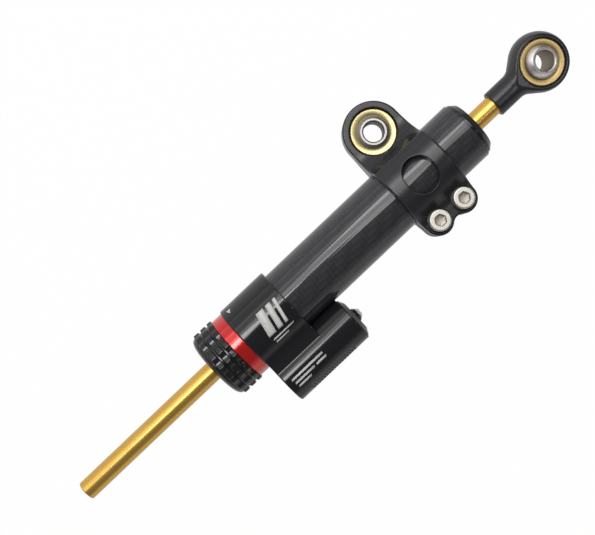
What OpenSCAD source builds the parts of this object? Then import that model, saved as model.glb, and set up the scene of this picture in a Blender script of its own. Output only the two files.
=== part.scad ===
// Through-rod steering damper for a motorcycle: carbon tube, valve block with a side reservoir,
// adjuster knob round the rod, clamp with a ball joint and a rod eye with a second ball joint.
// The damper's axis runs along X. The origin is the centre of the clamp's ball joint, whose bore
// stands along Z. Most modules are drawn about the damper's axis, and on_damper() moves them there.

/* [Rod] */
// Diameter of the piston rod
rod_d = 8; // [7:0.25:9]
// Length of rod that shows past the adjuster knob
rod_tail = 69.2; // [66:0.1:90]
// Length of rod that shows between the upper cap and the rod eye
rod_gap = 10.65; // [10:0.05:16]
// Chamfer at the free end of the rod
rod_tip_chamfer = 0.5; // [0.2:0.1:1]
// Depth that the rod's full diameter enters the rod eye
rod_seat = 4; // [2:0.5:6]
// Diameter of the threaded stud on the rod
stud_d = 6; // [5:0.25:6.5]
// Length of the threaded stud
stud_len = 8; // [5:0.5:9]
// Travel of the rod from rest to its inner stop
stroke_in = 9.5; // [5:0.5:9.5]
// Travel of the rod from rest to its outer stop
stroke_out = 56.5; // [40:0.5:60]

/* [Rod eye] */
// Diameter of the round head
head_d = 24; // [23:0.5:28]
// Thickness of the head across its flats
head_t = 10.6; // [10:0.1:10.7]
// Diameter of the shank
shank_d = 10.8; // [10.75:0.05:12]
// Distance from the shank's end to the centre of the head
eye_reach = 25; // [24.5:0.05:32]
// Chamfer at the shank's end
shank_chamfer = 1; // [0.4:0.1:1.2]
// Slope of the flare between shank and head, in degrees
flare_angle = 38; // [32:1:45]
// Radius of the fillet between shank and flare
flare_fillet = 4; // [1:0.5:6]
// Turn of the rod eye about the damper's axis at rest, in degrees
eye_roll = 13; // [-20:1:20]

/* [Ball joints] */
// Diameter of the ball
ball_d = 15.88; // [15:0.02:16.4]
// Width of the ball across its faces
ball_w = 12; // [10.5:0.1:12.5]
// Bore of the ball, for an M8 bolt
ball_bore = 8; // [6:0.5:8.5]
// Chamfer of the ball's bore
bore_chamfer = 0.5; // [0.2:0.1:0.8]
// Outer diameter of the bearing race
race_d = 19; // [18.5:0.1:20]
// Width of the race
race_w = 9; // [8:0.1:10]
// Outer chamfer of the race
race_chamfer = 0.5; // [0.2:0.1:0.8]
// Diameter of the race's open mouth
mouth_d = 15; // [14.2:0.1:16]
// Depth of the mouth's chamfer
mouth_depth = 0.5; // [0.3:0.1:0.8]
// Lean of the rod eye's ball toward +X at rest, in degrees
rod_ball_lean = 9; // [-13:1:13]

/* [Clamp] */
// Wall between the tube and the clamp's race
eye_wall = 2.4; // [1.8:0.1:10]
// Drop of the clamp's eye below the damper's axis
eye_drop = 6.8; // [0:0.1:8]
// Wall of the clamp's eye round its race
clamp_eye_wall = 2.8; // [2:0.1:3]
// Thickness of the clamp's eye plate
clamp_eye_t = 11.2; // [10:0.1:12]
// Width of the clamp along the tube
clamp_w = 25.4; // [25:0.1:32]
// Wall of the clamp round the tube
clamp_wall = 3.15; // [3:0.05:5]
// Radius of the cove between the eye plate and the ring
cove_r = 11; // [2.5:0.1:12]
// Wall that the cove leaves over the tube
cove_wall = 1.4; // [1.4:0.1:2.5]
// Thickness of the bolt lugs across both halves
lug_t = 16; // [11:0.1:18]
// Width of the slit between the lugs
slit_w = 1.6; // [0.8:0.1:2.4]
// Spacing of the two clamp bolts
bolt_spacing = 12.5; // [12.2:0.1:13]
// Gap between the tube and the heads of the clamp bolts
bolt_wall = 0.85; // [0.7:0.05:3]
// Radial gap round a bolt's head
head_gap = 0.45; // [0.3:0.05:0.6]
// Wall of the round lobe about a bolt's head
lobe_wall = 1.2; // [0.8:0.05:1.4]
// Depth of the notch between the lobes
notch_depth = 2.3; // [1:0.1:3]
// Diameter of the clamp bolts
bolt_d = 5; // [4:0.5:5]
// Diameter of a bolt's head
bolt_head_d = 8.5; // [7:0.1:8.8]
// Height of a bolt's head
bolt_head_h = 5; // [3.5:0.1:5]
// Depth that a bolt's head sits in the lug
bolt_sink = 0.2; // [0.1:0.1:3.4]
// Width across the flats of a bolt's socket
bolt_socket = 4; // [3:0.5:4]
// Depth of a bolt's socket
bolt_socket_depth = 2.6; // [2:0.1:3]
// Size of the clamp's window along the tube
window_w = 12.7; // [8:0.1:16]
// Size of the clamp's window round the tube
window_h = 15; // [14:0.1:18]

/* [Tube] */
// Outer diameter of the carbon tube
tube_d = 25.5; // [24:0.1:27]
// Wall of the carbon tube
tube_wall = 1.75; // [1:0.05:1.8]
// Length of tube that shows between the valve block and the upper cap
tube_show = 96.2; // [90:0.1:120]
// Distance from the clamp's centre to the tube's upper end
clamp_place = 26.4; // [24:0.1:40]

/* [Cylinder and piston] */
// Oil gap between the carbon tube and the inner cylinder
oil_gap = 0.8; // [0.5:0.1:1.2]
// Wall of the inner cylinder
cyl_wall = 1.2; // [0.8:0.1:1.4]
// Depth that the cylinder's ends seat in the gland and the cap
cyl_seat = 3; // [2:0.1:4]
// Diameter of the oil ports in the cylinder
port_d = 1.6; // [1:0.1:2]
// Number of oil ports at each end of the cylinder
ports = 4; // [2:1:6]
// Length of the piston
piston_len = 9; // [7:0.1:12]
// Radial gap between the piston and the cylinder
piston_gap = 0.25; // [0.1:0.05:0.4]
// Width of the piston's guide band
band_w = 4; // [3:0.1:5]
// Depth of the band's groove
band_depth = 1.2; // [0.8:0.1:1.5]
// Diameter of the piston's bleed holes
bleed_d = 1.4; // [1:0.1:1.6]
// Number of bleed holes
bleeds = 6; // [3:1:8]
// Thickness of each shim stack
shim_t = 0.6; // [0.3:0.1:1]
// Diameter of the shims
shim_d = 15; // [14:0.1:16]
// Thickness of the circlips that hold the piston
clip_t = 1; // [0.8:0.1:1.2]
// Depth of the circlip grooves in the rod
clip_depth = 0.5; // [0.3:0.05:0.6]
// Outer diameter of the circlips
clip_d = 11; // [10.5:0.1:12]
// Width of the circlips' opening
clip_slot = 4; // [3:0.1:6]

/* [Seals] */
// Length of the guide bushes
bush_len = 10; // [8:0.1:11]
// Wall of the guide bushes
bush_wall = 1.2; // [1:0.1:1.4]
// Width of the rod seals
seal_w = 2.5; // [2:0.1:2.6]
// Width of the wipers
wiper_w = 2.5; // [2:0.1:2.6]
// Radial depth of the seals and wipers
seal_depth = 2.3; // [1.8:0.1:2.4]
// Land between a seal and its neighbour
seal_land = 1; // [0.8:0.1:1.2]
// Radial gap between the rod and the lands
land_gap = 0.3; // [0.2:0.05:0.4]
// Thickness of the O-rings when fitted
o_ring_d = 1.2; // [0.9:0.05:1.3]
// Width of the O-ring grooves
o_groove_w = 1.8; // [1.5:0.1:2]

/* [Upper cap] */
// Step from the tube's outside in to the cap's nose
cap_step = 0.65; // [0:0.05:0.8]
// Height of the cap's nose
cap_nose = 3.3; // [3:0.1:5]
// Length of the nose's bevel
cap_bevel_l = 2.5; // [1:0.1:2.8]
// Radial size of the nose's bevel
cap_bevel_r = 1.8; // [0.8:0.1:2.5]

/* [Valve block] */
// Wall of the block's main lobe round the tube
block_wall = 2.05; // [2:0.05:4]
// Length of the block
block_len = 22.5; // [22:0.1:26]
// Step from the reservoir's side in to the flat web between the lobes
web_step = 0.9; // [0.5:0.01:3]
// Depth that the lower gland enters the block
gland_in = 10.9; // [10:0.1:12]
// Width of the oil gallery between the gland and the tube
gallery_w = 2.6; // [2.2:0.1:3]

/* [Reservoir] */
// Outer diameter of the reservoir
res_d = 19.4; // [18.5:0.02:20]
// Gap between the carbon tube and the reservoir
res_gap = 0.05; // [0.03:0.01:3]
// Length of the reservoir with its cap
res_len = 37.7; // [36:0.1:44]
// Wall of the reservoir
res_wall = 2.03; // [1.6:0.01:2.5]
// Floor left at the reservoir's blind end
res_floor = 8.5; // [6:0.1:9]
// Length of the reservoir cap's bevelled nose
res_nose = 1.8; // [1:0.1:2.5]
// Radial size of the reservoir cap's bevel
res_bevel = 3.3; // [2:0.1:3.6]
// Depth that the reservoir cap enters the bore
res_cap_in = 6; // [4.5:0.1:7]
// Length of the compensator piston
comp_len = 8; // [6:0.1:8.4]
// Travel of the compensator piston each way
comp_travel = 3.5; // [2:0.1:3.8]
// Count of the fine grooves on the reservoir
groove_count = 17; // [8:1:17]
// Pitch of the fine grooves
groove_pitch = 1.35; // [1.2:0.05:1.4]
// Width of each fine groove
groove_w = 0.6; // [0.4:0.05:0.8]
// Depth of each fine groove
groove_depth = 0.2; // [0.1:0.05:0.4]
// Start of the fine grooves, from the block's end
groove_start = 6.8; // [5:0.1:8]
// Half of the arc that the grooves span, in degrees
groove_half_arc = 43; // [20:1:50]

/* [Charge valve] */
// Diameter of the charge plug's collar
plug_d = 6.6; // [6:0.1:8]
// Height of the charge plug's collar
plug_h = 1.3; // [1:0.1:2]
// Diameter of the charge plug's shank
plug_shank_d = 4.8; // [4.6:0.1:5.4]
// Diameter of the domed charge screw
screw_d = 4.4; // [4:0.1:4.6]
// Height of the domed charge screw
screw_h = 1.4; // [1:0.1:2]
// Diameter of the charge screw's shank
screw_shank_d = 2.4; // [2:0.1:2.8]
// Length of the charge screw's shank
screw_len = 4; // [3:0.1:5]

/* [Index ring] */
// Height of the coloured ring over the knob under its teeth
ring_step = 0.05; // [0:0.05:0.6]
// Width of the coloured ring
ring_w = 5; // [4:0.1:7]

/* [Adjuster knob] */
// Height of the knob's teeth
tooth_h = 0.9; // [0.5:0.05:1.5]
// Wall of the knob outside the needle's track
knob_rim = 0.65; // [0.5:0.05:1.5]
// Length of the knob
knob_len = 11.7; // [11.4:0.1:14]
// Radial size of the rounded front edge
knob_round = 5; // [1:0.05:6]
// Length of the rounded front edge
knob_nose = 2.3; // [1:0.1:2.6]
// Thickness of the knob's front wall
knob_wall = 2; // [1.6:0.1:2.4]
// Diameter of the knob's front opening
knob_hole_d = 13.2; // [13.2:0.1:15]
// Count of tooth columns round the knob
tooth_columns = 15; // [12:1:16]
// Count of tooth rows along the knob
tooth_rows = 3; // [2:1:3]
// Pitch of the tooth rows
tooth_pitch = 3.45; // [3.2:0.05:3.5]
// Length of a tooth along the knob
tooth_len = 2.5; // [1.5:0.1:2.8]
// Distance from the knob's front to the first row
tooth_start = 2.65; // [2.6:0.05:3.3]
// Width of the slots between tooth columns
tooth_slot = 4.3; // [2:0.1:5]
// Angle from the front to the nearest tooth, in degrees
tooth_phase = 8; // [0:0.5:12]
// Step from the gland's spigot in to the neck that carries the knob
neck_step = 2; // [1.8:0.05:2.4]
// Gap between the neck's end and the knob's front wall
neck_gap = 0.3; // [0.2:0.1:0.5]
// Wire of the ring that holds the knob
snap_wire = 1; // [0.8:0.1:1.1]
// Distance from the knob's front wall to the snap ring
snap_place = 2; // [1.6:0.1:2.4]
// Count of clicks in a full turn
clicks = 24; // [18:1:36]
// Diameter of the click ball
click_ball_d = 1.8; // [1.6:0.1:2]
// Depth of the click ball's hole in the coloured ring
click_depth = 3.6; // [3:0.1:4]
// Turns of the click spring
click_turns = 4; // [3:1:5]
// Wire of the click spring
click_wire = 0.24; // [0.2:0.02:0.26]
// Diameter of the metering needle
needle_d = 1.6; // [1.2:0.1:1.7]
// Wall between the gland's bore and the needle
needle_land = 0.6; // [0.3:0.05:1]
// Travel of the needle each way
needle_travel = 0.6; // [0.3:0.05:0.6]

/* [Clearances] */
// Radial clearance of fixed seats
fit_gap = 0.02; // [0.01:0.005:0.03]
// Radial clearance of turning and sliding pieces
run_gap = 0.04; // [0.02:0.01:0.08]
// Clearance between moving faces
face_gap = 0.1; // [0.05:0.05:0.2]

/* [Hidden] */
$fn = 96;
cut = 1;

// Radii
rod_r = rod_d / 2;
tube_r = tube_d / 2;
bore_r = tube_r - tube_wall;
cyl_r = bore_r - oil_gap;
cyl_bore = 2 * (cyl_r - cyl_wall);
neck_r = bore_r - neck_step;
bush_r = rod_r + run_gap + bush_wall;
seal_r = rod_r + run_gap + seal_depth;
land_r = rod_r + land_gap;
res_r = res_d / 2;
res_bore = res_d - 2 * res_wall;
block_r = tube_r + block_wall;
clamp_r = tube_r + clamp_wall;
clamp_eye_r = race_d / 2 + clamp_eye_wall;
lobe_r = bolt_head_d / 2 + head_gap + lobe_wall;
piston_r = cyl_bore / 2 - piston_gap;
track_half = needle_d / 2 + 2 * face_gap;

// Distances of other axes from the damper's axis
eye_offset = tube_r + eye_wall + race_d / 2;
bolt_offset = tube_r + bolt_wall + bolt_head_d / 2;
res_offset = tube_r + res_gap + res_r;
needle_offset = bore_r + needle_land + needle_d / 2;
click_offset = (neck_r + needle_offset - track_half) / 2;

// Centre of the cove between the eye plate and the ring, from the damper's axis
cove_z = clamp_eye_t / 2 - eye_drop + cove_r - fit_gap;
cove_reach = tube_r + cove_wall + cove_r;
cove_y = sqrt(cove_reach * cove_reach - cove_z * cove_z);

// Radii of the knob and the coloured ring
base_r = needle_offset + track_half + knob_rim;
tip_r = base_r + tooth_h;
ring_r = base_r + ring_step;

// Places along the damper's axis, from the clamp's centre
tube_end = clamp_place;
block_right = tube_end - tube_show;
block_left = block_right - block_len;
ring_left = block_left - ring_w;
knob_right = ring_left - face_gap;
knob_left = ring_left - knob_len;
rod_left = knob_left - rod_tail;
nose_end = tube_end + cap_nose;
shank_left = nose_end + rod_gap;
eye_x = shank_left + eye_reach;
gland_end = block_left + gland_in;
tube_left = gland_end + gallery_w;
gallery_x = gland_end + gallery_w / 2;
cyl_left = gland_end - cyl_seat;
neck_left = knob_left + knob_wall + neck_gap;
cap_bush_left = nose_end - wiper_w - seal_w - 2 * seal_land - bush_len;
cyl_right = cap_bush_left;
cap_left = cyl_right - cyl_seat;
piston_x = (cyl_left + cyl_right) / 2 - (stroke_out - stroke_in) / 2;
shim_left = piston_x - piston_len / 2 - shim_t;
shim_right = piston_x + piston_len / 2;
clip_left = shim_left - face_gap - clip_t;
clip_right = shim_right + shim_t + face_gap;
res_right = block_left + res_len;
res_joint = res_right - res_nose;
res_bore_left = block_left + res_floor;
comp_x = (gallery_x + port_d / 2 + res_joint - res_cap_in) / 2;
snap_x = knob_left + knob_wall + snap_place;

// Points of an arc about centre c, in degrees
function arc(c, r, from, to, steps) = [
    for (i = [0 : steps])
        let (a = from + (to - from) * i / steps)
        [c[0] + r * cos(a), c[1] + r * sin(a)]
];

// Moves what is drawn about X to the damper's axis
module on_damper() {
    translate([0, -eye_offset, eye_drop]) children();
}

// Moves what is drawn about X to the reservoir's axis
module on_reservoir() {
    translate([0, -eye_offset - res_offset, eye_drop]) children();
}

// Moves what is drawn about Z to the rod eye's centre
module at_rod_eye() {
    translate([eye_x, -eye_offset, eye_drop]) rotate([eye_roll, 0, 0]) children();
}

// Solid of revolution about X from points of [radius, x]
module turned(profile) {
    rotate([0, 90, 0]) rotate_extrude() polygon(profile);
}

// Plain rod about X
module bar(r, from, to) {
    translate([from, 0, 0]) rotate([0, 90, 0]) cylinder(r = r, h = to - from);
}

// Plain ring about X
module ring(inner, outer, from, to) {
    turned([[inner, from], [outer, from], [outer, to], [inner, to]]);
}

// O-ring about X whose wire's centre runs at radius r
module o_ring(r, x) {
    translate([x, 0, 0]) rotate([0, 90, 0]) rotate_extrude() translate([r, 0]) circle(d = o_ring_d, $fn = 24);
}

// Hexagonal prism along Z, by its width across flats
module hex_prism(across, height) {
    cylinder(r = across / sqrt(3), h = height, $fn = 6);
}

// Section of YZ carried along X
module along_x(from, to) {
    translate([from, 0, 0]) rotate([90, 0, 90]) linear_extrude(to - from) children();
}

// Race about Z: outer chamfers, flat faces, open mouths and a spherical seat
module race() {
    r = race_d / 2;
    h = race_w / 2;
    difference() {
        rotate_extrude() polygon([
            [0, -h], [r - race_chamfer, -h], [r, -h + race_chamfer],
            [r, h - race_chamfer], [r - race_chamfer, h], [0, h]
        ]);
        sphere(r = ball_d / 2 + run_gap);
        for (side = [0, 1])
            mirror([0, 0, side]) translate([0, 0, h - mouth_depth])
                cylinder(r1 = mouth_d / 2 - 2 * mouth_depth, r2 = mouth_d / 2, h = mouth_depth + 0.01);
    }
}

// Ball about Z: a sphere between two flat faces, with a chamfered bore
module ball() {
    r = ball_bore / 2;
    difference() {
        intersection() {
            sphere(d = ball_d);
            cube([ball_d + cut, ball_d + cut, ball_w], center = true);
        }
        cylinder(r = r, h = ball_w + cut, center = true);
        for (side = [0, 1])
            mirror([0, 0, side]) translate([0, 0, ball_w / 2 - bore_chamfer])
                cylinder(r1 = r, r2 = r + 2 * bore_chamfer, h = 2 * bore_chamfer);
    }
}

// Clamp seen along the tube: ring, eye plate, the fill that the cove is cut from, and lugs
module clamp_section() {
    circle(r = clamp_r);
    translate([0, -clamp_eye_t / 2 - eye_drop]) square([eye_offset + clamp_eye_r, clamp_eye_t]);
    translate([0, -eye_drop]) square([cove_y, cove_z + eye_drop]);
    translate([-bolt_offset - lobe_r, -lug_t / 2]) square([bolt_offset + lobe_r, lug_t]);
}

// Clamp seen along Z: round eye, straight sides and two lobes with a notch between them
module clamp_plan() {
    inset = 0.02;
    side_x = clamp_w / 2;
    bolt_x = bolt_spacing / 2;
    eye_side = clamp_eye_r - inset;
    lobe_side = min(bolt_x + lobe_r - inset, side_x);
    step = lobe_r - notch_depth;
    notch_r = (bolt_x * bolt_x + step * step - lobe_r * lobe_r) / (2 * notch_depth);
    notch_y = -bolt_offset - step - notch_r;
    spread = 0.94 * atan2(bolt_x, step + notch_r);
    translate([0, eye_offset]) circle(r = clamp_eye_r);
    polygon([
        [-eye_side, eye_offset], [-side_x, tube_r], [-side_x, -tube_r], [-lobe_side, -bolt_offset],
        [lobe_side, -bolt_offset], [side_x, -tube_r], [side_x, tube_r], [eye_side, eye_offset]
    ]);
    polygon(concat(
        [[-bolt_x, -bolt_offset + lobe_r / 2], [-bolt_x, -bolt_offset]],
        arc([0, notch_y], notch_r, 90 + spread, 90 - spread, 8),
        [[bolt_x, -bolt_offset], [bolt_x, -bolt_offset + lobe_r / 2]]
    ));
    for (side = [-1, 1])
        translate([side * bolt_x, -bolt_offset]) circle(r = lobe_r);
}

// Window in the clamp's crest
module clamp_window() {
    reach = (window_h - window_w) / 2;
    linear_extrude(clamp_r + cut) {
        square([window_w, 2 * reach], center = true);
        for (side = [-1, 1])
            translate([0, side * reach]) circle(d = window_w);
    }
}

// Where the underside of a clamp bolt's head sits
bolt_seat = lug_t / 2 - bolt_sink;

// Holes for one clamp bolt
module bolt_holes() {
    translate([0, 0, -lug_t]) cylinder(r = bolt_d / 2 + fit_gap, h = 2 * lug_t);
    translate([0, 0, bolt_seat]) cylinder(r = bolt_head_d / 2 + head_gap, h = 2 * clamp_r);
}

module mount_clamp() {
    color("#222226") on_damper() difference() {
        intersection() {
            along_x(-clamp_w / 2, clamp_w / 2) clamp_section();
            translate([0, 0, -2 * clamp_r]) linear_extrude(4 * clamp_r) clamp_plan();
        }
        bar(tube_r + run_gap, -clamp_w, clamp_w);
        translate([-clamp_w, -2 * bolt_offset, -slit_w / 2]) cube([2 * clamp_w, 2 * bolt_offset, slit_w]);
        for (side = [-1, 1])
            translate([side * bolt_spacing / 2, -bolt_offset, 0]) bolt_holes();
        translate([0, cove_y, cove_z]) bar(cove_r, -clamp_w, clamp_w);
        clamp_window();
        translate([0, eye_offset, 0]) cylinder(r = race_d / 2 + fit_gap, h = 4 * clamp_r, center = true);
    }
}

// Socket bolt that closes the clamp, at one side of its centre
module clamp_bolt(side) {
    color("#c9c9c6") on_damper() translate([side * bolt_spacing / 2, -bolt_offset, bolt_seat]) difference() {
        union() {
            cylinder(d = bolt_head_d, h = bolt_head_h);
            translate([0, 0, -bolt_seat - lug_t / 2]) cylinder(d = bolt_d, h = bolt_seat + lug_t / 2 + cut);
        }
        translate([0, 0, bolt_head_h - bolt_socket_depth]) hex_prism(bolt_socket, bolt_head_h);
    }
}

module clamp_bolt_lower() {
    clamp_bolt(-1);
}

module clamp_bolt_upper() {
    clamp_bolt(1);
}

module clamp_race() {
    color("#d2a63c") race();
}

module clamp_ball() {
    color("#b9b6b2") ball();
}

// Fine grooves on the outer side of the reservoir
module reservoir_grooves() {
    for (i = [0 : groove_count - 1])
        translate([block_left + groove_start + i * groove_pitch, 0, 0])
            rotate([0, 90, 0]) rotate([0, 0, 270 - groove_half_arc])
                rotate_extrude(angle = 2 * groove_half_arc)
                    translate([res_r - groove_depth, 0]) square([groove_depth + cut, groove_w]);
}

module valve_block() {
    web_t = res_d - 2 * web_step;
    color("#232327") difference() {
        union() {
            on_damper() along_x(block_left, block_right) {
                circle(r = block_r);
                translate([-res_offset, -web_t / 2]) square([res_offset, web_t]);
            }
            on_reservoir() bar(res_r, block_left, res_joint);
        }
        on_damper() {
            bar(bore_r, block_left - cut, block_right + cut);
            bar(tube_r + fit_gap, tube_left, block_right + cut);
            translate([gallery_x, 0, 0]) rotate([90, 0, 0]) cylinder(d = port_d, h = res_offset);
            translate([0, needle_offset, 0]) bar(needle_d / 2 + run_gap, block_left - cut, gallery_x + needle_d);
            translate([gallery_x, needle_offset, 0]) rotate([90, 0, 0]) cylinder(d = needle_d, h = needle_offset);
        }
        on_reservoir() {
            bar(res_bore / 2, res_bore_left, res_joint + cut);
            reservoir_grooves();
        }
    }
}

module outer_tube() {
    color("#2a2a2c") on_damper() ring(bore_r, tube_r, tube_left, tube_end);
}

module inner_cylinder() {
    color("#a9adb0") on_damper() difference() {
        ring(cyl_bore / 2, cyl_r, cyl_left, cyl_right);
        for (x = [gallery_x, cap_left - port_d], turn = [0 : ports - 1])
            translate([x, 0, 0]) rotate([turn * 360 / ports, 0, 0])
                translate([0, 0, cyl_bore / 2 - cut]) cylinder(d = port_d, h = cyl_wall + 2 * cut, $fn = 24);
    }
}

// Bore of a gland or cap from its outer face inward, with pockets for wiper, seal and bush.
// Points of [radius, distance from the outer face]; plain is the bore left before the bush.
function gland_bore(plain) =
    let (seal_at = wiper_w + seal_land)
    let (bush_at = seal_at + seal_w + seal_land + plain)
    let (seat_at = bush_at + bush_len)
    [[seal_r + fit_gap, 0], [seal_r + fit_gap, wiper_w], [land_r, wiper_w], [land_r, seal_at],
     [seal_r + fit_gap, seal_at], [seal_r + fit_gap, seal_at + seal_w], [land_r, seal_at + seal_w],
     [land_r, bush_at], [bush_r + fit_gap, bush_at], [bush_r + fit_gap, seat_at],
     [cyl_r + fit_gap, seat_at], [cyl_r + fit_gap, seat_at + cyl_seat]];

// Outer groove for an O-ring about X in a spigot of radius r
module o_ring_groove(r, x) {
    ring(r - o_ring_d, r + cut, x - o_groove_w / 2, x + o_groove_w / 2);
}

o_ring_r = bore_r - o_ring_d / 2 - fit_gap / 2;
gland_o_ring_x = block_left + 2 * o_groove_w;
cap_o_ring_x = tube_end - 2 * o_groove_w;

module upper_cap() {
    spigot_r = bore_r - fit_gap;
    nose_r = tube_r - cap_step;
    inside = [for (p = gland_bore(0)) [p[0], nose_end - p[1]]];
    color("#1d1d20") on_damper() difference() {
        turned(concat(inside, [
            [spigot_r, cap_left], [spigot_r, tube_end], [nose_r, tube_end],
            [nose_r, nose_end - cap_bevel_l], [nose_r - cap_bevel_r, nose_end]
        ]));
        o_ring_groove(spigot_r, cap_o_ring_x);
    }
}

// Bush, seal or wiper: a ring round the rod with running clearance
module rod_ring(outer, from, to) {
    on_damper() ring(rod_r + run_gap, outer, from, to);
}

module upper_guide_bush() {
    color("#b5893f") rod_ring(bush_r, cap_bush_left, cap_bush_left + bush_len);
}

module upper_rod_seal() {
    right = nose_end - wiper_w - seal_land;
    color("#6d7a4a") rod_ring(seal_r, right - seal_w, right);
}

module upper_wiper() {
    color("#161616") rod_ring(seal_r, nose_end - wiper_w, nose_end);
}

module lower_gland() {
    spigot_r = bore_r - fit_gap;
    plain = cyl_left - neck_left - wiper_w - seal_w - 2 * seal_land - bush_len;
    inside = [for (p = gland_bore(plain)) [p[0], neck_left + p[1]]];
    groove_r = neck_r - snap_wire / 2 - fit_gap;
    color("#8f9396") on_damper() difference() {
        turned(concat(inside, [
            [spigot_r, gland_end], [spigot_r, block_left], [neck_r, block_left], [neck_r, neck_left]
        ]));
        o_ring_groove(spigot_r, gland_o_ring_x);
        ring(groove_r, neck_r + cut, snap_x - snap_wire / 2 - fit_gap, snap_x + snap_wire / 2 + fit_gap);
    }
}

module lower_guide_bush() {
    color("#b5893f") rod_ring(bush_r, cyl_left - bush_len, cyl_left);
}

module lower_rod_seal() {
    left = neck_left + wiper_w + seal_land;
    color("#6d7a4a") rod_ring(seal_r, left, left + seal_w);
}

module lower_wiper() {
    color("#161616") rod_ring(seal_r, neck_left, neck_left + wiper_w);
}

module gland_o_ring() {
    color("#141414") on_damper() o_ring(o_ring_r, gland_o_ring_x);
}

module cap_o_ring() {
    color("#141414") on_damper() o_ring(o_ring_r, cap_o_ring_x);
}

module index_ring() {
    color("#c8202b") on_damper() difference() {
        ring(neck_r + fit_gap, ring_r, ring_left, block_left);
        translate([0, needle_offset, 0]) bar(needle_d / 2 + run_gap, ring_left - cut, block_left + cut);
        translate([0, -click_offset, 0]) bar(click_ball_d / 2 + fit_gap, ring_left - cut, ring_left + click_depth);
    }
}

module click_ball() {
    color("#c4c4c4") on_damper() translate([ring_left + click_ball_d / 2, -click_offset, 0])
        sphere(d = click_ball_d);
}

// Compression spring behind the click ball: a round wire carried along a helix
module click_spring() {
    sides = 6;
    steps = 8 * click_turns;
    coil_r = click_ball_d / 2 - click_wire;
    rise = click_depth - click_ball_d - click_wire;
    points = [
        for (i = [0 : steps], k = [0 : sides - 1])
            let (turn = 360 * click_turns * i / steps, a = 360 * k / sides)
            let (r = coil_r + click_wire / 2 * cos(a))
            [r * cos(turn), r * sin(turn), rise * i / steps + click_wire / 2 * (1 + sin(a))]
    ];
    quads = [
        for (i = [0 : steps - 1], k = [0 : sides - 1])
            let (next = (k + 1) % sides)
            [i * sides + k, (i + 1) * sides + k, (i + 1) * sides + next, i * sides + next]
    ];
    first = [for (k = [0 : sides - 1]) k];
    last = [for (k = [sides - 1 : -1 : 0]) steps * sides + k];
    color("#9a9a9a") on_damper() translate([ring_left + click_depth, -click_offset, 0]) rotate([0, -90, 0])
        polyhedron(points, concat(quads, [first, last]));
}

module knob_snap_ring() {
    color("#9a9a9a") on_damper() translate([snap_x, 0, 0])
        rotate([0, 90, 0]) rotate_extrude() translate([neck_r, 0]) circle(d = snap_wire, $fn = 24);
}

module reservoir_cap() {
    spigot_r = res_bore / 2 - fit_gap;
    plug_r = plug_shank_d / 2 + fit_gap;
    inner_end = res_joint - res_cap_in;
    color("#1d1d20") on_reservoir() difference() {
        turned([
            [plug_r, inner_end], [spigot_r, inner_end], [spigot_r, res_joint], [res_r, res_joint],
            [res_r - res_bevel, res_right], [plug_r, res_right]
        ]);
        o_ring_groove(spigot_r, res_joint - res_cap_in / 2);
    }
}

module reservoir_cap_o_ring() {
    color("#141414") on_reservoir() o_ring(res_bore / 2 - (o_ring_d + fit_gap) / 2, res_joint - res_cap_in / 2);
}

module charge_plug() {
    hole_r = screw_shank_d / 2 + fit_gap;
    inner_end = res_joint - res_cap_in;
    shank_r = plug_shank_d / 2;
    color("#1d1d20") on_reservoir() turned([
        [hole_r, inner_end], [shank_r, inner_end], [shank_r, res_right], [plug_d / 2, res_right],
        [screw_d / 2, res_right + plug_h], [hole_r, res_right + plug_h]
    ]);
}

// Dome of the charge screw as a cap of a sphere with the screw's diameter and height
module charge_screw() {
    r = screw_d / 2;
    seat = res_right + plug_h;
    dome_r = (r * r + screw_h * screw_h) / (2 * screw_h);
    half = asin(min(1, r / dome_r));
    dome = arc([0, seat + screw_h - dome_r], dome_r, 90 - half, 90, 8);
    color("#cfcfcd") on_reservoir() difference() {
        turned(concat([[0, seat - screw_len], [screw_shank_d / 2, seat - screw_len], [screw_shank_d / 2, seat]],
                      dome));
        translate([seat + screw_h / 3, 0, 0]) rotate([0, 90, 0]) hex_prism(screw_d / 3, screw_h);
    }
}

// Profile of the knob's outside: flat front, rounded edge and plain base
function knob_outside() =
    [for (a = [0 : 15 : 90]) [base_r - knob_round * (1 - sin(a)), knob_left + knob_nose * (1 - cos(a))]];

module adjuster_knob() {
    inside_r = neck_r + run_gap;
    first = knob_left + tooth_start;
    track_depth = 2 * needle_travel + 3 * face_gap;
    color("#222226") on_damper() difference() {
        union() {
            turned(concat([[knob_hole_d / 2, knob_left]], knob_outside(), [
                [base_r, knob_right], [inside_r, knob_right], [inside_r, knob_left + knob_wall],
                [knob_hole_d / 2, knob_left + knob_wall]
            ]));
            ring(inside_r + cut, tip_r, first, knob_right);
        }
        for (i = [0 : tooth_columns - 1])
            rotate([90 + tooth_phase + (i + 0.5) * 360 / tooth_columns, 0, 0])
                translate([first - cut, base_r, -tooth_slot / 2]) cube([knob_len, tip_r, tooth_slot]);
        for (i = [0 : tooth_rows - 2])
            ring(base_r, tip_r + cut, first + i * tooth_pitch + tooth_len, first + (i + 1) * tooth_pitch);
        for (i = [0 : clicks - 1])
            rotate([i * 360 / clicks, 0, 0]) translate([knob_right + click_ball_d / 4, -click_offset, 0])
                sphere(d = click_ball_d, $fn = 24);
        ring(inside_r - cut, neck_r + snap_wire / 2 + face_gap,
             snap_x - snap_wire / 2 - face_gap, snap_x + snap_wire / 2 + face_gap);
        ring(needle_offset - track_half, needle_offset + track_half, knob_right - track_depth, knob_right + cut);
    }
}

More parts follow.
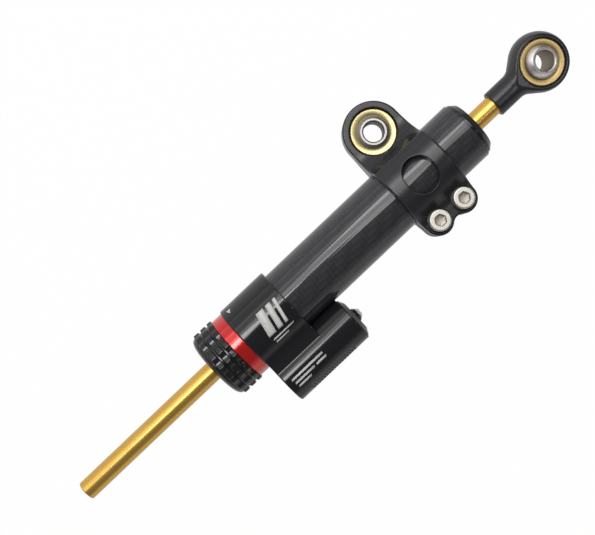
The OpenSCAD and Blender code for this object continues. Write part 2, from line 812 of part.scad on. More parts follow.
// Needle that the knob's cam track pushes through the index ring into the block's oil passage
module metering_needle() {
    r = needle_d / 2;
    left = knob_right - needle_travel - face_gap;
    right = gallery_x - needle_travel / 2;
    color("#c9c9c6") on_damper() translate([0, needle_offset, 0]) turned([
        [0, left], [r, left], [r, right - needle_d], [r / 4, right], [0, right]
    ]);
}

module piston() {
    groove_r = piston_r - band_depth;
    color("#b08d3c") on_damper() difference() {
        ring(rod_r + run_gap, piston_r, piston_x - piston_len / 2, piston_x + piston_len / 2);
        ring(groove_r, piston_r + cut, piston_x - band_w / 2, piston_x + band_w / 2);
        for (i = [0 : bleeds - 1])
            rotate([i * 360 / bleeds, 0, 0]) translate([0, (groove_r + rod_r) / 2, 0])
                bar(bleed_d / 2, piston_x - piston_len, piston_x + piston_len);
    }
}

module piston_band() {
    inner = piston_r - band_depth + fit_gap;
    half = band_w / 2 - fit_gap;
    color("#3f4a3a") on_damper() ring(inner, cyl_bore / 2 - run_gap, piston_x - half, piston_x + half);
}

module piston_shim(left) {
    color("#b9bcc0") on_damper() ring(rod_r + run_gap, shim_d / 2, left, left + shim_t);
}

module piston_shim_lower() {
    piston_shim(shim_left);
}

module piston_shim_upper() {
    piston_shim(shim_right);
}

// Open circlip in a groove of the rod
module piston_clip(left) {
    color("#8d8d8d") on_damper() difference() {
        ring(rod_r - clip_depth + fit_gap, clip_d / 2, left, left + clip_t);
        translate([left - cut, -clip_slot / 2, -clip_d]) cube([clip_t + 2 * cut, clip_slot, clip_d]);
    }
}

module piston_clip_lower() {
    piston_clip(clip_left);
}

module piston_clip_upper() {
    piston_clip(clip_right);
}

module piston_rod() {
    c = rod_tip_chamfer;
    seat = shank_left + rod_seat;
    color("#d8b24a") on_damper() difference() {
        turned([
            [0, rod_left], [rod_r - c, rod_left], [rod_r, rod_left + c], [rod_r, seat],
            [stud_d / 2, seat], [stud_d / 2, seat + stud_len], [0, seat + stud_len]
        ]);
        for (left = [clip_left, clip_right])
            ring(rod_r - clip_depth, rod_r + cut, left - fit_gap, left + clip_t + fit_gap);
    }
}

// Rod eye about its own centre: turned shank, flare and round head, milled flat on two sides
module eye_body() {
    r = head_d / 2;
    shank_r = shank_d / 2;
    sink = 0.02;
    foot = -r * sin(flare_angle) - (r * cos(flare_angle) - shank_r) / tan(flare_angle);
    fillet_x = foot - flare_fillet * tan(flare_angle / 2);
    bend = [for (p = arc([shank_r + flare_fillet, fillet_x], flare_fillet, 180, 180 - flare_angle, 6)) p];
    difference() {
        union() {
            sphere(r = r, $fn = 128);
            turned(concat(
                [[0, -eye_reach], [shank_r - shank_chamfer, -eye_reach], [shank_r, -eye_reach + shank_chamfer]],
                bend,
                [[r * cos(flare_angle) - sink, -r * sin(flare_angle)], [0, 0]]
            ));
        }
        for (side = [0, 1])
            mirror([0, 0, side]) translate([fillet_x, -r, head_t / 2]) cube([2 * head_d, 2 * r, r]);
    }
}

module rod_eye() {
    seat = -eye_reach + rod_seat;
    color("#242428") at_rod_eye() difference() {
        eye_body();
        cylinder(r = race_d / 2 + fit_gap, h = 2 * head_t, center = true);
        bar(rod_r + fit_gap, -eye_reach - cut, seat);
        bar(stud_d / 2 + fit_gap, seat - cut, seat + stud_len + face_gap);
    }
}

module rod_eye_race() {
    color("#d2a63c") at_rod_eye() race();
}

module rod_eye_ball() {
    color("#b9b6b2") at_rod_eye() rotate([0, rod_ball_lean, 0]) ball();
}

module compensator_piston() {
    r = res_bore / 2 - piston_gap;
    color("#b9bcc0") on_reservoir() difference() {
        bar(r, comp_x - comp_len / 2, comp_x + comp_len / 2);
        bar(r / 2, comp_x, comp_x + comp_len);
        ring(res_bore / 2 - run_gap - o_ring_d - fit_gap, r + cut, comp_x - o_groove_w / 2, comp_x + o_groove_w / 2);
    }
}

module compensator_o_ring() {
    color("#141414") on_reservoir() o_ring(res_bore / 2 - run_gap - o_ring_d / 2, comp_x);
}

mount_clamp();
clamp_bolt_lower();
clamp_bolt_upper();
clamp_race();
clamp_ball();
valve_block();
outer_tube();
inner_cylinder();
upper_cap();
upper_guide_bush();
upper_rod_seal();
upper_wiper();
lower_gland();
lower_guide_bush();
lower_rod_seal();
lower_wiper();
gland_o_ring();
cap_o_ring();
index_ring();
click_ball();
click_spring();
knob_snap_ring();
reservoir_cap();
reservoir_cap_o_ring();
charge_plug();
charge_screw();
adjuster_knob();
metering_needle();
piston();
piston_band();
piston_shim_lower();
piston_shim_upper();
piston_clip_lower();
piston_clip_upper();
piston_rod();
rod_eye();
rod_eye_race();
rod_eye_ball();
compensator_piston();
compensator_o_ring();
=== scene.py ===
import math

import bmesh
import bpy
import numpy as np
from mathutils import Matrix


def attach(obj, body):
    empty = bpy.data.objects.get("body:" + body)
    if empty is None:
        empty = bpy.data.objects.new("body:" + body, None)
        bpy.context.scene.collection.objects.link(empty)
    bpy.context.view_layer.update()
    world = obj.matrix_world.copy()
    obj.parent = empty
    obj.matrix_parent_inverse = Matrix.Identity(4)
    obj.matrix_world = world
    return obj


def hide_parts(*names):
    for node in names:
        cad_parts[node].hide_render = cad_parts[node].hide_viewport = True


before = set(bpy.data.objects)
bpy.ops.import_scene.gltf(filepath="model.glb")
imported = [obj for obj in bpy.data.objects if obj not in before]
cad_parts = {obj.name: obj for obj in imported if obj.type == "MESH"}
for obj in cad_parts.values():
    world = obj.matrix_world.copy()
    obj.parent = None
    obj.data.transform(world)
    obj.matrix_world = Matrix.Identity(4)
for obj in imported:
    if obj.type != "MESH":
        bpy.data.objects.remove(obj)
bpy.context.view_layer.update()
mm = 0.001
axisY = -24.65  # damper's axis, mm from the clamp's ball joint
axisZ = 6.8  # its height over that joint
reservoirY = -47.15  # reservoir's axis
boltX = 6.25  # clamp bolts, to either side of the clamp's middle
boltY = -17.85  # and past the damper's axis
noiseSpan = (0.25, 0.75)  # the part of 0 to 1 that noise mostly fills
print("frame loaded:", len(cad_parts), "CAD nodes")


# Quads between neighbouring points of an nu by nv grid, point i * nv + j, closed round where asked.
def gridQuads(nu, nv, wrapU=False, wrapV=False):
    i, j = np.meshgrid(np.arange(nu - (not wrapU)), np.arange(nv - (not wrapV)), indexing="ij")
    i2 = (i + 1) % nu
    j2 = (j + 1) % nv
    return np.stack([i * nv + j, i2 * nv + j, i2 * nv + j2, i * nv + j2], -1).reshape(-1, 4)


# Polyline with rounded corners: each corner is cut back by r / tan(half angle) along both sides and
# bridged by the arc of radius r that touches them. A point just past each end of an arc keeps the
# shading of the straight sides flat.
def roundedProfile(corners, radii, closed=False, steps=5, past=0.05):
    p = np.asarray(corners, float)
    r = np.zeros(len(p)) + np.asarray(radii, float)
    a = np.roll(p, 1, 0) - p
    b = np.roll(p, -1, 0) - p
    la = np.linalg.norm(a, axis=1)
    lb = np.linalg.norm(b, axis=1)
    a = a / np.maximum(la, 1e-9)[:, None]
    b = b / np.maximum(lb, 1e-9)[:, None]
    half = np.arccos(np.clip((a * b).sum(1), -1, 1)) / 2
    back = np.minimum(r / np.tan(np.maximum(half, 1e-6)), 0.49 * np.minimum(la, lb))
    if not closed:
        back[[0, -1]] = 0
    turn = np.pi - 2 * half
    plain = (back < 1e-9) | (turn < 1e-3)
    reach = np.where(plain, 0, back / np.cos(np.where(plain, 0.5, half)))
    middle = a + b
    middle = middle / np.maximum(np.linalg.norm(middle, axis=1), 1e-9)[:, None]
    centre = p + middle * reach[:, None]
    first = p + a * back[:, None] - centre
    last = p + b * back[:, None] - centre
    t = np.linspace(0, 1, steps + 1)[None, :, None]
    sweep = np.where(plain, 1, turn)[:, None, None]
    swung = first[:, None] * np.sin((1 - t) * sweep) + last[:, None] * np.sin(t * sweep)
    arcs = centre[:, None] + swung / np.sin(sweep)
    arcs[plain] = p[plain][:, None]
    beyond = np.where(plain, 0, np.minimum(back + past, 0.495 * np.minimum(la, lb)))[:, None]
    arcs = np.concatenate([(p + a * beyond)[:, None], arcs, (p + b * beyond)[:, None]], 1)
    line = arcs.reshape(-1, 2)
    keep = np.ones(len(line), bool)
    keep[1:] = np.linalg.norm(np.diff(line, axis=0), axis=1) > 1e-6
    return line[keep]


# Turned surface: a profile point (a, r) goes to origin + a * axis + r * (cos(t) * front + sin(t) * side).
# r may also change with the angle t. The flat map holds t * reference radius and the length along the
# profile, in mm.
def turned(a, r, place, t=128, closed=False, reference=1.0):
    if np.isscalar(t):
        t = np.arange(t) * 2 * np.pi / t
    a = np.asarray(a, float)
    r = np.asarray(r, float)
    r = np.repeat(r[:, None], len(t), 1) if r.ndim == 1 else r
    axis = np.array(place["axis"], float)
    front = np.array(place["front"], float)
    side = np.cross(axis, front)
    spoke = np.cos(t)[:, None] * front + np.sin(t)[:, None] * side
    points = np.array(place["origin"], float) + a[:, None, None] * axis + r[..., None] * spoke[None]
    n = len(a)
    faces = gridQuads(n, len(t), closed, True)
    along = np.concatenate([[0], np.cumsum(np.hypot(np.diff(a), np.diff(r[:, 0])))])
    along = np.append(along, along[-1] + np.hypot(a[0] - a[-1], r[0, 0] - r[-1, 0]))
    around = np.append(t, 2 * np.pi + t[0]) * reference
    i, j = np.meshgrid(np.arange(n - (not closed)), np.arange(len(t)), indexing="ij")
    steps = ((0, 0), (1, 0), (1, 1), (0, 1))
    flat = np.stack([np.stack([around[j + dj], along[i + di]], -1) for di, dj in steps], 2)
    return points.reshape(-1, 3), faces, flat.reshape(-1, 2)


# Rounded intersection of two distance fields: their maximum, with an arc of radius r in the corner.
def roundMax(a, b, r):
    return np.minimum(np.maximum(a, b), -r) + np.hypot(np.maximum(a + r, 0), np.maximum(b + r, 0))


# Rounded union: their minimum, with the corner filled by an arc of radius r.
def roundMin(a, b, r):
    return np.maximum(np.minimum(a, b), r) - np.hypot(np.maximum(r - a, 0), np.maximum(r - b, 0))


# Surface where a field of x, y, z is zero. A grid cell that the surface crosses gives one point, the mean
# of its edge crossings. A crossed grid edge gives the quad of its four cells. Newton steps along the slope
# then set the points on the surface, and the slope is the normal.
def levelSurface(field, low, high, cell):
    axes = [np.arange(a - 2.5 * cell, b + 2.5 * cell, cell) for a, b in zip(low, high)]
    grid = np.stack(np.meshgrid(*axes, indexing="ij"), -1)
    value = field(*np.moveaxis(grid, -1, 0))
    inside = value < 0
    cells = tuple(np.array(value.shape) - 1)
    total = np.zeros(cells + (3,))
    count = np.zeros(cells)
    for k in range(3):
        for edge in ((0, 0), (0, 1), (1, 0), (1, 1)):
            ends = [(*edge[:k], end, *edge[k:]) for end in (0, 1)]
            at, to = [tuple(slice(s, s + m) for s, m in zip(end, cells)) for end in ends]
            crossed = inside[at] != inside[to]
            share = np.where(crossed, value[at] / np.where(crossed, value[at] - value[to], 1), 0)
            crossing = grid[at].copy()
            crossing[..., k] += share * cell
            total += crossing * crossed[..., None]
            count += crossed
    active = count > 0
    points = total[active] / count[active][:, None]
    index = np.full(cells, -1)
    index[active] = np.arange(len(points))
    quads = []
    for k in range(3):
        at = [slice(1, m - 1) for m in value.shape]
        to = list(at)
        at[k] = slice(0, value.shape[k] - 1)
        to[k] = slice(1, value.shape[k])
        crossed = inside[tuple(at)] != inside[tuple(to)]
        corner = np.argwhere(crossed) + 1
        corner[:, k] -= 1
        p = np.eye(3, dtype=int)[(k + 1) % 3]
        q = np.eye(3, dtype=int)[(k + 2) % 3]
        quad = np.stack([index[tuple((corner - s).T)] for s in (p + q, q, 0 * p, p)], -1)
        outward = inside[tuple(at)][crossed]
        quads.append(np.where(outward[:, None], quad, quad[:, ::-1]))

    # Slope of the field: central differences over a step e
    def slope(p, e=0.01):
        steps = np.eye(3) * e
        return np.stack([(field(*(p + s).T) - field(*(p - s).T)) / (2 * e) for s in steps], -1)

    for _ in range(5):
        g = slope(points)
        move = g * (field(*points.T) / np.maximum((g * g).sum(1), 1e-6))[:, None]
        points = points - np.clip(move, -0.5 * cell, 0.5 * cell)
    g = slope(points)
    return points, np.concatenate(quads), g / np.linalg.norm(g, axis=1)[:, None]


# Object made of its data and put in the scene.
def addObject(name, data):
    made = bpy.data.objects.new(name, data)
    bpy.context.scene.collection.objects.link(made)
    return made


# One finished piece: points in mm, faces, finish, the body it moves with and the CAD node it stands for.
def addPiece(name, points, faces, finish, body, node, flat=None, normals=None, crease=35):
    mesh = bpy.data.meshes.new(name)
    mesh.from_pydata((np.asarray(points) * mm).tolist(), [], np.asarray(faces).tolist())
    if flat is not None:
        mesh.uv_layers.new(name="flat").data.foreach_set("uv", np.asarray(flat, np.float32).ravel())
    if normals is None:
        shell = bmesh.new()
        shell.from_mesh(mesh)
        bmesh.ops.remove_doubles(shell, verts=shell.verts, dist=2e-7)
        bmesh.ops.recalc_face_normals(shell, faces=shell.faces)
        shell.to_mesh(mesh)
        shell.free()
    mesh.polygons.foreach_set("use_smooth", np.ones(len(mesh.polygons), bool))
    if normals is None:
        mesh.set_sharp_from_angle(angle=math.radians(crease))
    else:
        mesh.normals_split_custom_set_from_vertices(np.asarray(normals).tolist())
    mesh.materials.append(finish)
    piece = addObject(name, mesh)
    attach(piece, body)
    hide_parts(node)
    return piece


# One turned piece: a rounded profile carried round its place's axis, mapped flat where a radius is given.
def addTurned(name, corners, radii, place, steps, finish, body, node, closed=True, mapRadius=None):
    profile = roundedProfile(corners, radii, closed)
    points, faces, flat = turned(*profile.T, place, steps, closed, mapRadius or 1.0)
    addPiece(name, points, faces, finish, body, node, flat if mapRadius else None)


# Node tree of a finish or a world, emptied.
def emptyTree(owner):
    owner.use_nodes = True
    owner.node_tree.nodes.clear()
    return owner.node_tree


# Empty finish with a Principled shader joined to its output.
def newFinish(name):
    finish = bpy.data.materials.new(name)
    tree = emptyTree(finish)
    skin = put(tree, "BsdfPrincipled")
    put(tree, "OutputMaterial", {"Surface": skin.outputs["BSDF"]})
    return finish, tree, skin


# Joins a value to a socket: a socket by a link, and a number as the socket's own value.
def join(tree, value, socket):
    if isinstance(value, bpy.types.NodeSocket):
        tree.links.new(value, socket)
    else:
        socket.default_value = value


# Adds a shader node with its settings, and joins values to its sockets.
def put(tree, kind, sockets=None, **settings):
    made = tree.nodes.new("ShaderNode" + kind)
    for key, value in settings.items():
        setattr(made, key, value)
    for key, value in (sockets or {}).items():
        join(tree, value, made.inputs[key])
    return made


# One arithmetic step on a and b.
def calc(tree, operation, a, b=0.0):
    return put(tree, "Math", {0: a, 1: b}, operation=operation).outputs[0]


# Weighted sum a * p + b * q.
def weighted(tree, a, p, b, q):
    return calc(tree, "ADD", calc(tree, "MULTIPLY", a, p), calc(tree, "MULTIPLY", b, q))


# Colour a + share * (b - a).
def blendColour(tree, share, a, b):
    return put(tree, "Mix", {0: share, 6: a, 7: b}, data_type="RGBA").outputs[2]


# Straight map of a value from its own range onto low to high, held at both ends.
def spread(tree, value, low, high, fromLow=0.0, fromHigh=1.0):
    sockets = {"Value": value, "From Min": fromLow, "From Max": fromHigh, "To Min": low, "To Max": high}
    return put(tree, "MapRange", sockets).outputs[0]


# Cloudy noise with clouds of a given size in mm.
def noise(tree, where, size, detail=2.0):
    sockets = {"Vector": where, "Scale": 1 / (size * mm), "Detail": detail}
    return put(tree, "TexNoise", sockets).outputs["Fac"]


# Fine lines: noise squeezed along the lines' direction, so that it varies only across them.
def lines(tree, where, scale, detail=3.0):
    squeezed = put(tree, "Mapping", {"Vector": where, "Scale": scale}).outputs[0]
    return put(tree, "TexNoise", {"Vector": squeezed, "Scale": 1.0, "Detail": detail}).outputs["Fac"]


# Distance from an axis through a point: the length of the offset's cross product with the axis.
def radiusFrom(tree, where, origin, axis):
    start = [v * mm for v in origin]
    moved = put(tree, "VectorMath", {0: where, 1: start}, operation="SUBTRACT").outputs[0]
    across = put(tree, "VectorMath", {0: moved, 1: axis}, operation="CROSS_PRODUCT").outputs[0]
    return put(tree, "VectorMath", {0: across}, operation="LENGTH").outputs["Value"]


# Place on a piece, in metres from the frame's origin.
def objectPoint(tree):
    return put(tree, "TexCoord").outputs["Object"]


# Joins colour, roughness and a bump to the shader. The bump is its height times a depth in mm.
def coverSkin(tree, skin, colour, rough, bump, depth, height):
    raised = put(tree, "Bump", {"Strength": bump, "Distance": depth * mm, "Height": height})
    join(tree, colour, skin.inputs["Base Color"])
    join(tree, rough, skin.inputs["Roughness"])
    join(tree, raised.outputs[0], skin.inputs["Normal"])


# Satin black anodising over blasted metal: near black, faint clouds in colour and gloss, fine grain.
def blackAnodised(name, key):
    finish, tree, skin = newFinish(name)
    look = finishLook[key]
    where = objectPoint(tree)
    cloud = noise(tree, where, look["cloud"], 3.0)
    grain = noise(tree, where, look["grain"], 2.0)
    colour = blendColour(tree, cloud, look["dark"], look["light"])
    rough = spread(tree, weighted(tree, cloud, 0.6, grain, 0.4), *look["roughness"], *noiseSpan)
    coverSkin(tree, skin, colour, rough, look["bump"], 0.02, grain)
    return finish


# Coloured or bare metal with turning marks, which follow the radius from an axis and the length along it.
# A shade takes over inside its inner radii and outside its outer ones. It is painted shade: a darker colour
# that stands in for the shade in mouths, bores, sockets and rim gaps.
def turnedMetal(name, key, place):
    finish, tree, skin = newFinish(name)
    look = finishLook[key]
    where = objectPoint(tree)
    radius = radiusFrom(tree, where, place["origin"], place["axis"])
    run = put(tree, "VectorMath", {0: where, 1: place["axis"]}, operation="DOT_PRODUCT").outputs["Value"]
    track = put(tree, "CombineXYZ", {0: radius, 1: run, 2: 0.0}).outputs[0]
    marks = noise(tree, track, look["mark"], 4.0)
    cloud = noise(tree, where, look["cloud"], 2.0)
    colour = blendColour(tree, cloud, look["dark"], look["light"])
    rough = spread(tree, weighted(tree, cloud, 0.4, marks, 0.6), *look["roughness"], *noiseSpan)
    # Painted shade: darker colour and other roughness near the hole and near the rim
    if "shade" in look:
        inner, outer, shadeColour, shadeRough = look["shade"]
        nearHole = spread(tree, radius, 1.0, 0.0, *[v * mm for v in inner])
        nearRim = spread(tree, radius, 0.0, 1.0, *[v * mm for v in outer])
        share = calc(tree, "MAXIMUM", nearHole, nearRim)
        colour = blendColour(tree, share, colour, shadeColour)
        rough = put(tree, "Mix", {0: share, 2: rough, 3: shadeRough}).outputs[0]
    coverSkin(tree, skin, colour, rough, look["bump"], 0.01, marks)
    skin.inputs["Metallic"].default_value = look["metal"]
    skin.inputs["Coat Weight"].default_value = look.get("coat", 0.0)
    skin.inputs["Coat Roughness"].default_value = look.get("lacquer", 0.1)
    return finish


# Matt rubber, plastic or ink: fine noise in colour, gloss and height.
def mattFinish(name, key):
    finish, tree, skin = newFinish(name)
    look = finishLook[key]
    grain = noise(tree, objectPoint(tree), look["grain"], 3.0)
    colour = blendColour(tree, grain, look["dark"], look["light"])
    rough = spread(tree, grain, *look["roughness"], 0.3, 0.7)
    coverSkin(tree, skin, colour, rough, look["bump"], 0.02, grain)
    return finish
# Twill carbon under clear lacquer, on the flat map in mm. Tow i crosses tow j, and the warp lies on top
# where (i + j) mod 4 is under 2. Each tow is a rounded ridge with fine fibres along it.
def twillCarbon(name, key):
    finish, tree, skin = newFinish(name)
    look = finishLook[key]
    flat = put(tree, "UVMap", uv_map="flat").outputs[0]
    parts = put(tree, "SeparateXYZ", {0: flat})
    u = calc(tree, "DIVIDE", parts.outputs[0], look["tow"])
    v = calc(tree, "DIVIDE", parts.outputs[1], look["tow"])
    step = calc(tree, "ADD", calc(tree, "FLOOR", u), calc(tree, "FLOOR", v))
    phase = calc(tree, "FLOORED_MODULO", step, 4.0)
    warp = calc(tree, "LESS_THAN", phase, 1.5)
    acrossU = calc(tree, "ABSOLUTE", calc(tree, "SUBTRACT", calc(tree, "FRACT", u), 0.5))
    acrossV = calc(tree, "ABSOLUTE", calc(tree, "SUBTRACT", calc(tree, "FRACT", v), 0.5))
    offset = put(tree, "Mix", {0: warp, 2: acrossV, 3: acrossU}).outputs[0]
    ridge = calc(tree, "MULTIPLY", calc(tree, "MULTIPLY", offset, offset), look["crown"])
    ridge = calc(tree, "SUBTRACT", 1.0, ridge)
    fibreU = lines(tree, flat, (look["fibre"], look["fibreRun"], 1.0))
    fibreV = lines(tree, flat, (look["fibreRun"], look["fibre"], 1.0))
    fibre = put(tree, "Mix", {0: warp, 2: fibreV, 3: fibreU}).outputs[0]
    worn = noise(tree, objectPoint(tree), look["cloud"], 2.0)
    tone = weighted(tree, warp, look["step"], fibre, look["fibreTone"])
    tone = calc(tree, "MULTIPLY", weighted(tree, tone, 1.0, worn, look["wornTone"]), ridge)
    colour = blendColour(tree, tone, look["dark"], look["light"])
    rough = spread(tree, fibre, *look["roughness"])
    height = weighted(tree, ridge, 1.0, fibre, look["fibreHeight"])
    coverSkin(tree, skin, colour, rough, look["bump"], 0.05, height)
    skin.inputs["Coat Weight"].default_value = 1.0
    skin.inputs["Coat Roughness"].default_value = look["lacquer"]
    skin.inputs["Specular IOR Level"].default_value = look["gloss"]
    return finish


# Settings of the finishes, sizes in mm. A shade has its inner radii, outer radii, colour and roughness:
# it is painted shade, a darker colour where mouths, bores, sockets and rim gaps lie in shade.
finishLook = {
    "block": {"dark": (0.010, 0.010, 0.0115, 1), "light": (0.013, 0.0125, 0.0145, 1),
              "roughness": (0.10, 0.13), "cloud": 9.0, "grain": 0.12, "bump": 0.02},
    "knob": {"dark": (0.009, 0.009, 0.010, 1), "light": (0.014, 0.014, 0.0155, 1),
             "roughness": (0.11, 0.15), "cloud": 4.0, "grain": 0.15, "bump": 0.03},
    "clamp": {"dark": (0.0145, 0.0145, 0.0175, 1), "light": (0.021, 0.021, 0.025, 1),
              "roughness": (0.22, 0.29), "cloud": 7.0, "grain": 0.14, "bump": 0.05},
    "rod": {"dark": (0.76, 0.45, 0.095, 1), "light": (0.82, 0.51, 0.125, 1), "roughness": (0.25, 0.31),
            "cloud": 6.0, "mark": 0.30, "bump": 0.03, "metal": 0.82},
    "race": {"dark": (0.64, 0.54, 0.26, 1), "light": (0.72, 0.62, 0.33, 1), "roughness": (0.32, 0.40),
             "cloud": 3.0, "mark": 0.22, "bump": 0.04, "metal": 1.0,
             # painted shade in the race's mouth and at its outer rim
             "shade": ((6.4, 7.9), (8.72, 9.0), (0.26, 0.205, 0.125, 1), 0.5)},
    # Rod eye's race: warmer gold than the clamp's, made lighter as painted light for its face turned from the
    # lamps
    "litEyeRace": {"dark": (0.93, 0.66, 0.27, 1), "light": (0.98, 0.75, 0.35, 1), "roughness": (0.34, 0.42),
                "cloud": 3.0, "mark": 0.22, "bump": 0.04, "metal": 0.8,
                # painted shade in its mouth and at its outer rim
                "shade": ((6.9, 7.7), (8.65, 8.95), (0.26, 0.18, 0.09, 1), 0.5)},
    "red": {"dark": (0.62, 0.012, 0.013, 1), "light": (0.72, 0.018, 0.019, 1), "roughness": (0.13, 0.18),
            "cloud": 5.0, "mark": 0.20, "bump": 0.02, "metal": 0.55, "coat": 0.85, "lacquer": 0.07},
    "ball": {"dark": (0.46, 0.435, 0.415, 1), "light": (0.55, 0.525, 0.50, 1), "roughness": (0.40, 0.50),
             "cloud": 2.5, "mark": 0.25, "bump": 0.04, "metal": 1.0,
             # painted shade in the ball's bore
             "shade": ((4.2, 4.45), (8.0, 9.0), (0.17, 0.16, 0.155, 1), 0.55)},
    "rodBall": {"dark": (0.80, 0.785, 0.765, 1), "light": (0.87, 0.855, 0.835, 1),
                "roughness": (0.30, 0.40), "cloud": 2.5, "mark": 0.25, "bump": 0.03, "metal": 1.0,
                # painted shade in the ball's bore and on its edge next to the race
                "shade": ((4.1, 4.35), (6.6, 7.2), (0.30, 0.26, 0.20, 1), 0.5)},
    "screw": {"dark": (0.78, 0.76, 0.72, 1), "light": (0.86, 0.84, 0.80, 1), "roughness": (0.30, 0.38),
              "cloud": 1.2, "mark": 0.30, "bump": 0.05, "metal": 0.5},
    "bolt": {"dark": (0.60, 0.575, 0.52, 1), "light": (0.71, 0.685, 0.625, 1), "roughness": (0.42, 0.50),
             "cloud": 1.2, "mark": 0.30, "bump": 0.05, "metal": 1.0,
             # painted shade in the bolt's hexagon socket
             "shade": ((2.3, 2.6), (9.0, 10.0), (0.42, 0.395, 0.345, 1), 0.5)},
    "alloy": {"dark": (0.50, 0.51, 0.52, 1), "light": (0.62, 0.63, 0.64, 1), "roughness": (0.28, 0.40),
              "cloud": 4.0, "mark": 0.25, "bump": 0.10, "metal": 1.0},
    "bronze": {"dark": (0.42, 0.24, 0.08, 1), "light": (0.52, 0.32, 0.12, 1), "roughness": (0.30, 0.42),
               "cloud": 3.0, "mark": 0.30, "bump": 0.10, "metal": 1.0},
    "rubber": {"dark": (0.010, 0.010, 0.010, 1), "light": (0.020, 0.020, 0.020, 1),
               "roughness": (0.55, 0.72), "grain": 0.25, "bump": 0.25},
    "plastic": {"dark": (0.045, 0.062, 0.040, 1), "light": (0.070, 0.090, 0.060, 1),
                "roughness": (0.40, 0.55), "grain": 0.3, "bump": 0.2},
    "ink": {"dark": (0.52, 0.52, 0.50, 1), "light": (0.68, 0.68, 0.66, 1), "roughness": (0.35, 0.50),
            "grain": 0.5, "bump": 0.1},
    "carbon": {"tow": 2.1, "fibre": 9.0, "fibreRun": 0.12, "crown": 3.2, "step": 0.15, "fibreTone": 0.35,
               "wornTone": 0.25, "fibreHeight": 0.3, "cloud": 12.0, "dark": (0.020, 0.020, 0.023, 1),
               "light": (0.056, 0.056, 0.063, 1), "roughness": (0.40, 0.55), "bump": 0.15,
               "lacquer": 0.05, "gloss": 0.1},
}
alongX = (1.0, 0.0, 0.0)
alongZ = (0.0, 0.0, 1.0)
rollAngle = math.radians(13.0)  # the rod eye's turn about the damper's axis
leanAngle = math.radians(9.0)  # its ball's lean
eyeCentre = np.array([65.35, axisY, axisZ])
eyeTurn = np.array(Matrix.Rotation(rollAngle, 3, "X"))
eyeAxis = tuple(eyeTurn @ np.array(alongZ))
ballAxis = tuple(eyeTurn @ np.array(Matrix.Rotation(leanAngle, 3, "Y")) @ np.array(alongZ))
ballFront = tuple(eyeTurn @ np.array(Matrix.Rotation(leanAngle, 3, "Y")) @ np.array(alongX))
onDamper = {"origin": (0, axisY, axisZ), "axis": alongX, "front": alongZ}
onReservoir = {"origin": (0, reservoirY, axisZ), "axis": alongX, "front": alongZ}
atClampEye = {"origin": (0, 0, 0), "axis": alongZ, "front": alongX}
atRodEye = {"origin": eyeCentre, "axis": eyeAxis, "front": alongX}
atRodBall = {"origin": eyeCentre, "axis": ballAxis, "front": ballFront}
boltPlaces = {side: {"origin": (x, axisY + boltY, axisZ), "axis": alongZ, "front": alongX}
              for side, x in (("lower", -boltX), ("upper", boltX))}

blockBlack = blackAnodised("black_anodised_block", "block")
knobBlack = blackAnodised("black_anodised_knob", "knob")
clampBlack = blackAnodised("black_anodised_clamp", "clamp")
rodGold = turnedMetal("gold_rod", "rod", onDamper)
ringRed = turnedMetal("red_anodised_ring", "red", onDamper)
clampRaceGold = turnedMetal("gold_clamp_race", "race", atClampEye)
eyeRaceGold = turnedMetal("gold_rod_eye_race", "litEyeRace", atRodEye)
clampBallSteel = turnedMetal("clamp_ball_steel", "ball", atClampEye)
rodBallSteel = turnedMetal("rod_ball_steel", "rodBall", atRodBall)
boltSteel = {side: turnedMetal("bolt_steel_" + side, "bolt", place) for side, place in boltPlaces.items()}
screwSteel = turnedMetal("charge_screw_steel", "screw", onReservoir)
plainAlloy = turnedMetal("plain_aluminium", "alloy", onDamper)
reservoirAlloy = turnedMetal("reservoir_aluminium", "alloy", onReservoir)
bronze = turnedMetal("bronze", "bronze", onDamper)
rubber = mattFinish("seal_rubber", "rubber")
bandPlastic = mattFinish("band_plastic", "plastic")
whiteInk = mattFinish("white_ink", "ink")
carbon = twillCarbon("twill_carbon", "carbon")
print("finishes made:", len(bpy.data.materials))

# CAD nodes that stay as they are, each with its finish
insideNodes = (
    (plainAlloy, ("inner_cylinder", "lower_gland", "knob_snap_ring", "click_ball", "click_spring",
                  "metering_needle", "piston_shim_lower", "piston_shim_upper", "piston_clip_lower",
                  "piston_clip_upper")),
    (reservoirAlloy, ("compensator_piston",)),
    (bronze, ("piston", "upper_guide_bush", "lower_guide_bush")),
    (bandPlastic, ("piston_band",)),
    (rubber, ("upper_rod_seal", "lower_rod_seal", "upper_wiper", "lower_wiper", "gland_o_ring",
              "cap_o_ring", "reservoir_cap_o_ring", "compensator_o_ring")),
)
for finish, nodeNames in insideNodes:
    for nodeName in nodeNames:
        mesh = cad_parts[nodeName].data
        mesh.materials.clear()
        mesh.materials.append(finish)

# Rod: straight ground bar with rounded end, circlip grooves and stud
rod = {"radius": 4.0, "left": -178.2, "seat": 44.35, "stud": 3.0, "end": 52.35, "tip": 0.55,
       "grooves": ((-65.57, -64.53), (-54.17, -53.13)), "grooveRadius": 3.5}
corners = [(rod["left"], 0), (rod["left"], rod["radius"])]
for grooveLeft, grooveRight in rod["grooves"]:
    corners += [(grooveLeft, rod["radius"]), (grooveLeft, rod["grooveRadius"])]
    corners += [(grooveRight, rod["grooveRadius"]), (grooveRight, rod["radius"])]
corners += [(rod["seat"], rod["radius"]), (rod["seat"], rod["stud"])]
corners += [(rod["end"], rod["stud"]), (rod["end"], 0)]
radii = np.zeros(len(corners))
radii[1] = rod["tip"]
addTurned("damper_rod", corners, radii, onDamper, 96, rodGold, "rod_set", "piston_rod", False)

# Carbon tube with its twill on the flat map
tube = {"left": -78.8, "right": 26.4, "inner": 11.0, "outer": 12.75, "edge": 0.2}
corners = [(tube["left"], tube["outer"]), (tube["right"], tube["outer"]),
           (tube["right"], tube["inner"]), (tube["left"], tube["inner"])]
addTurned("carbon_tube", corners, [0, tube["edge"], 0, 0], onDamper, 160, carbon, "damper_body",
          "outer_tube", mapRadius=tube["outer"])

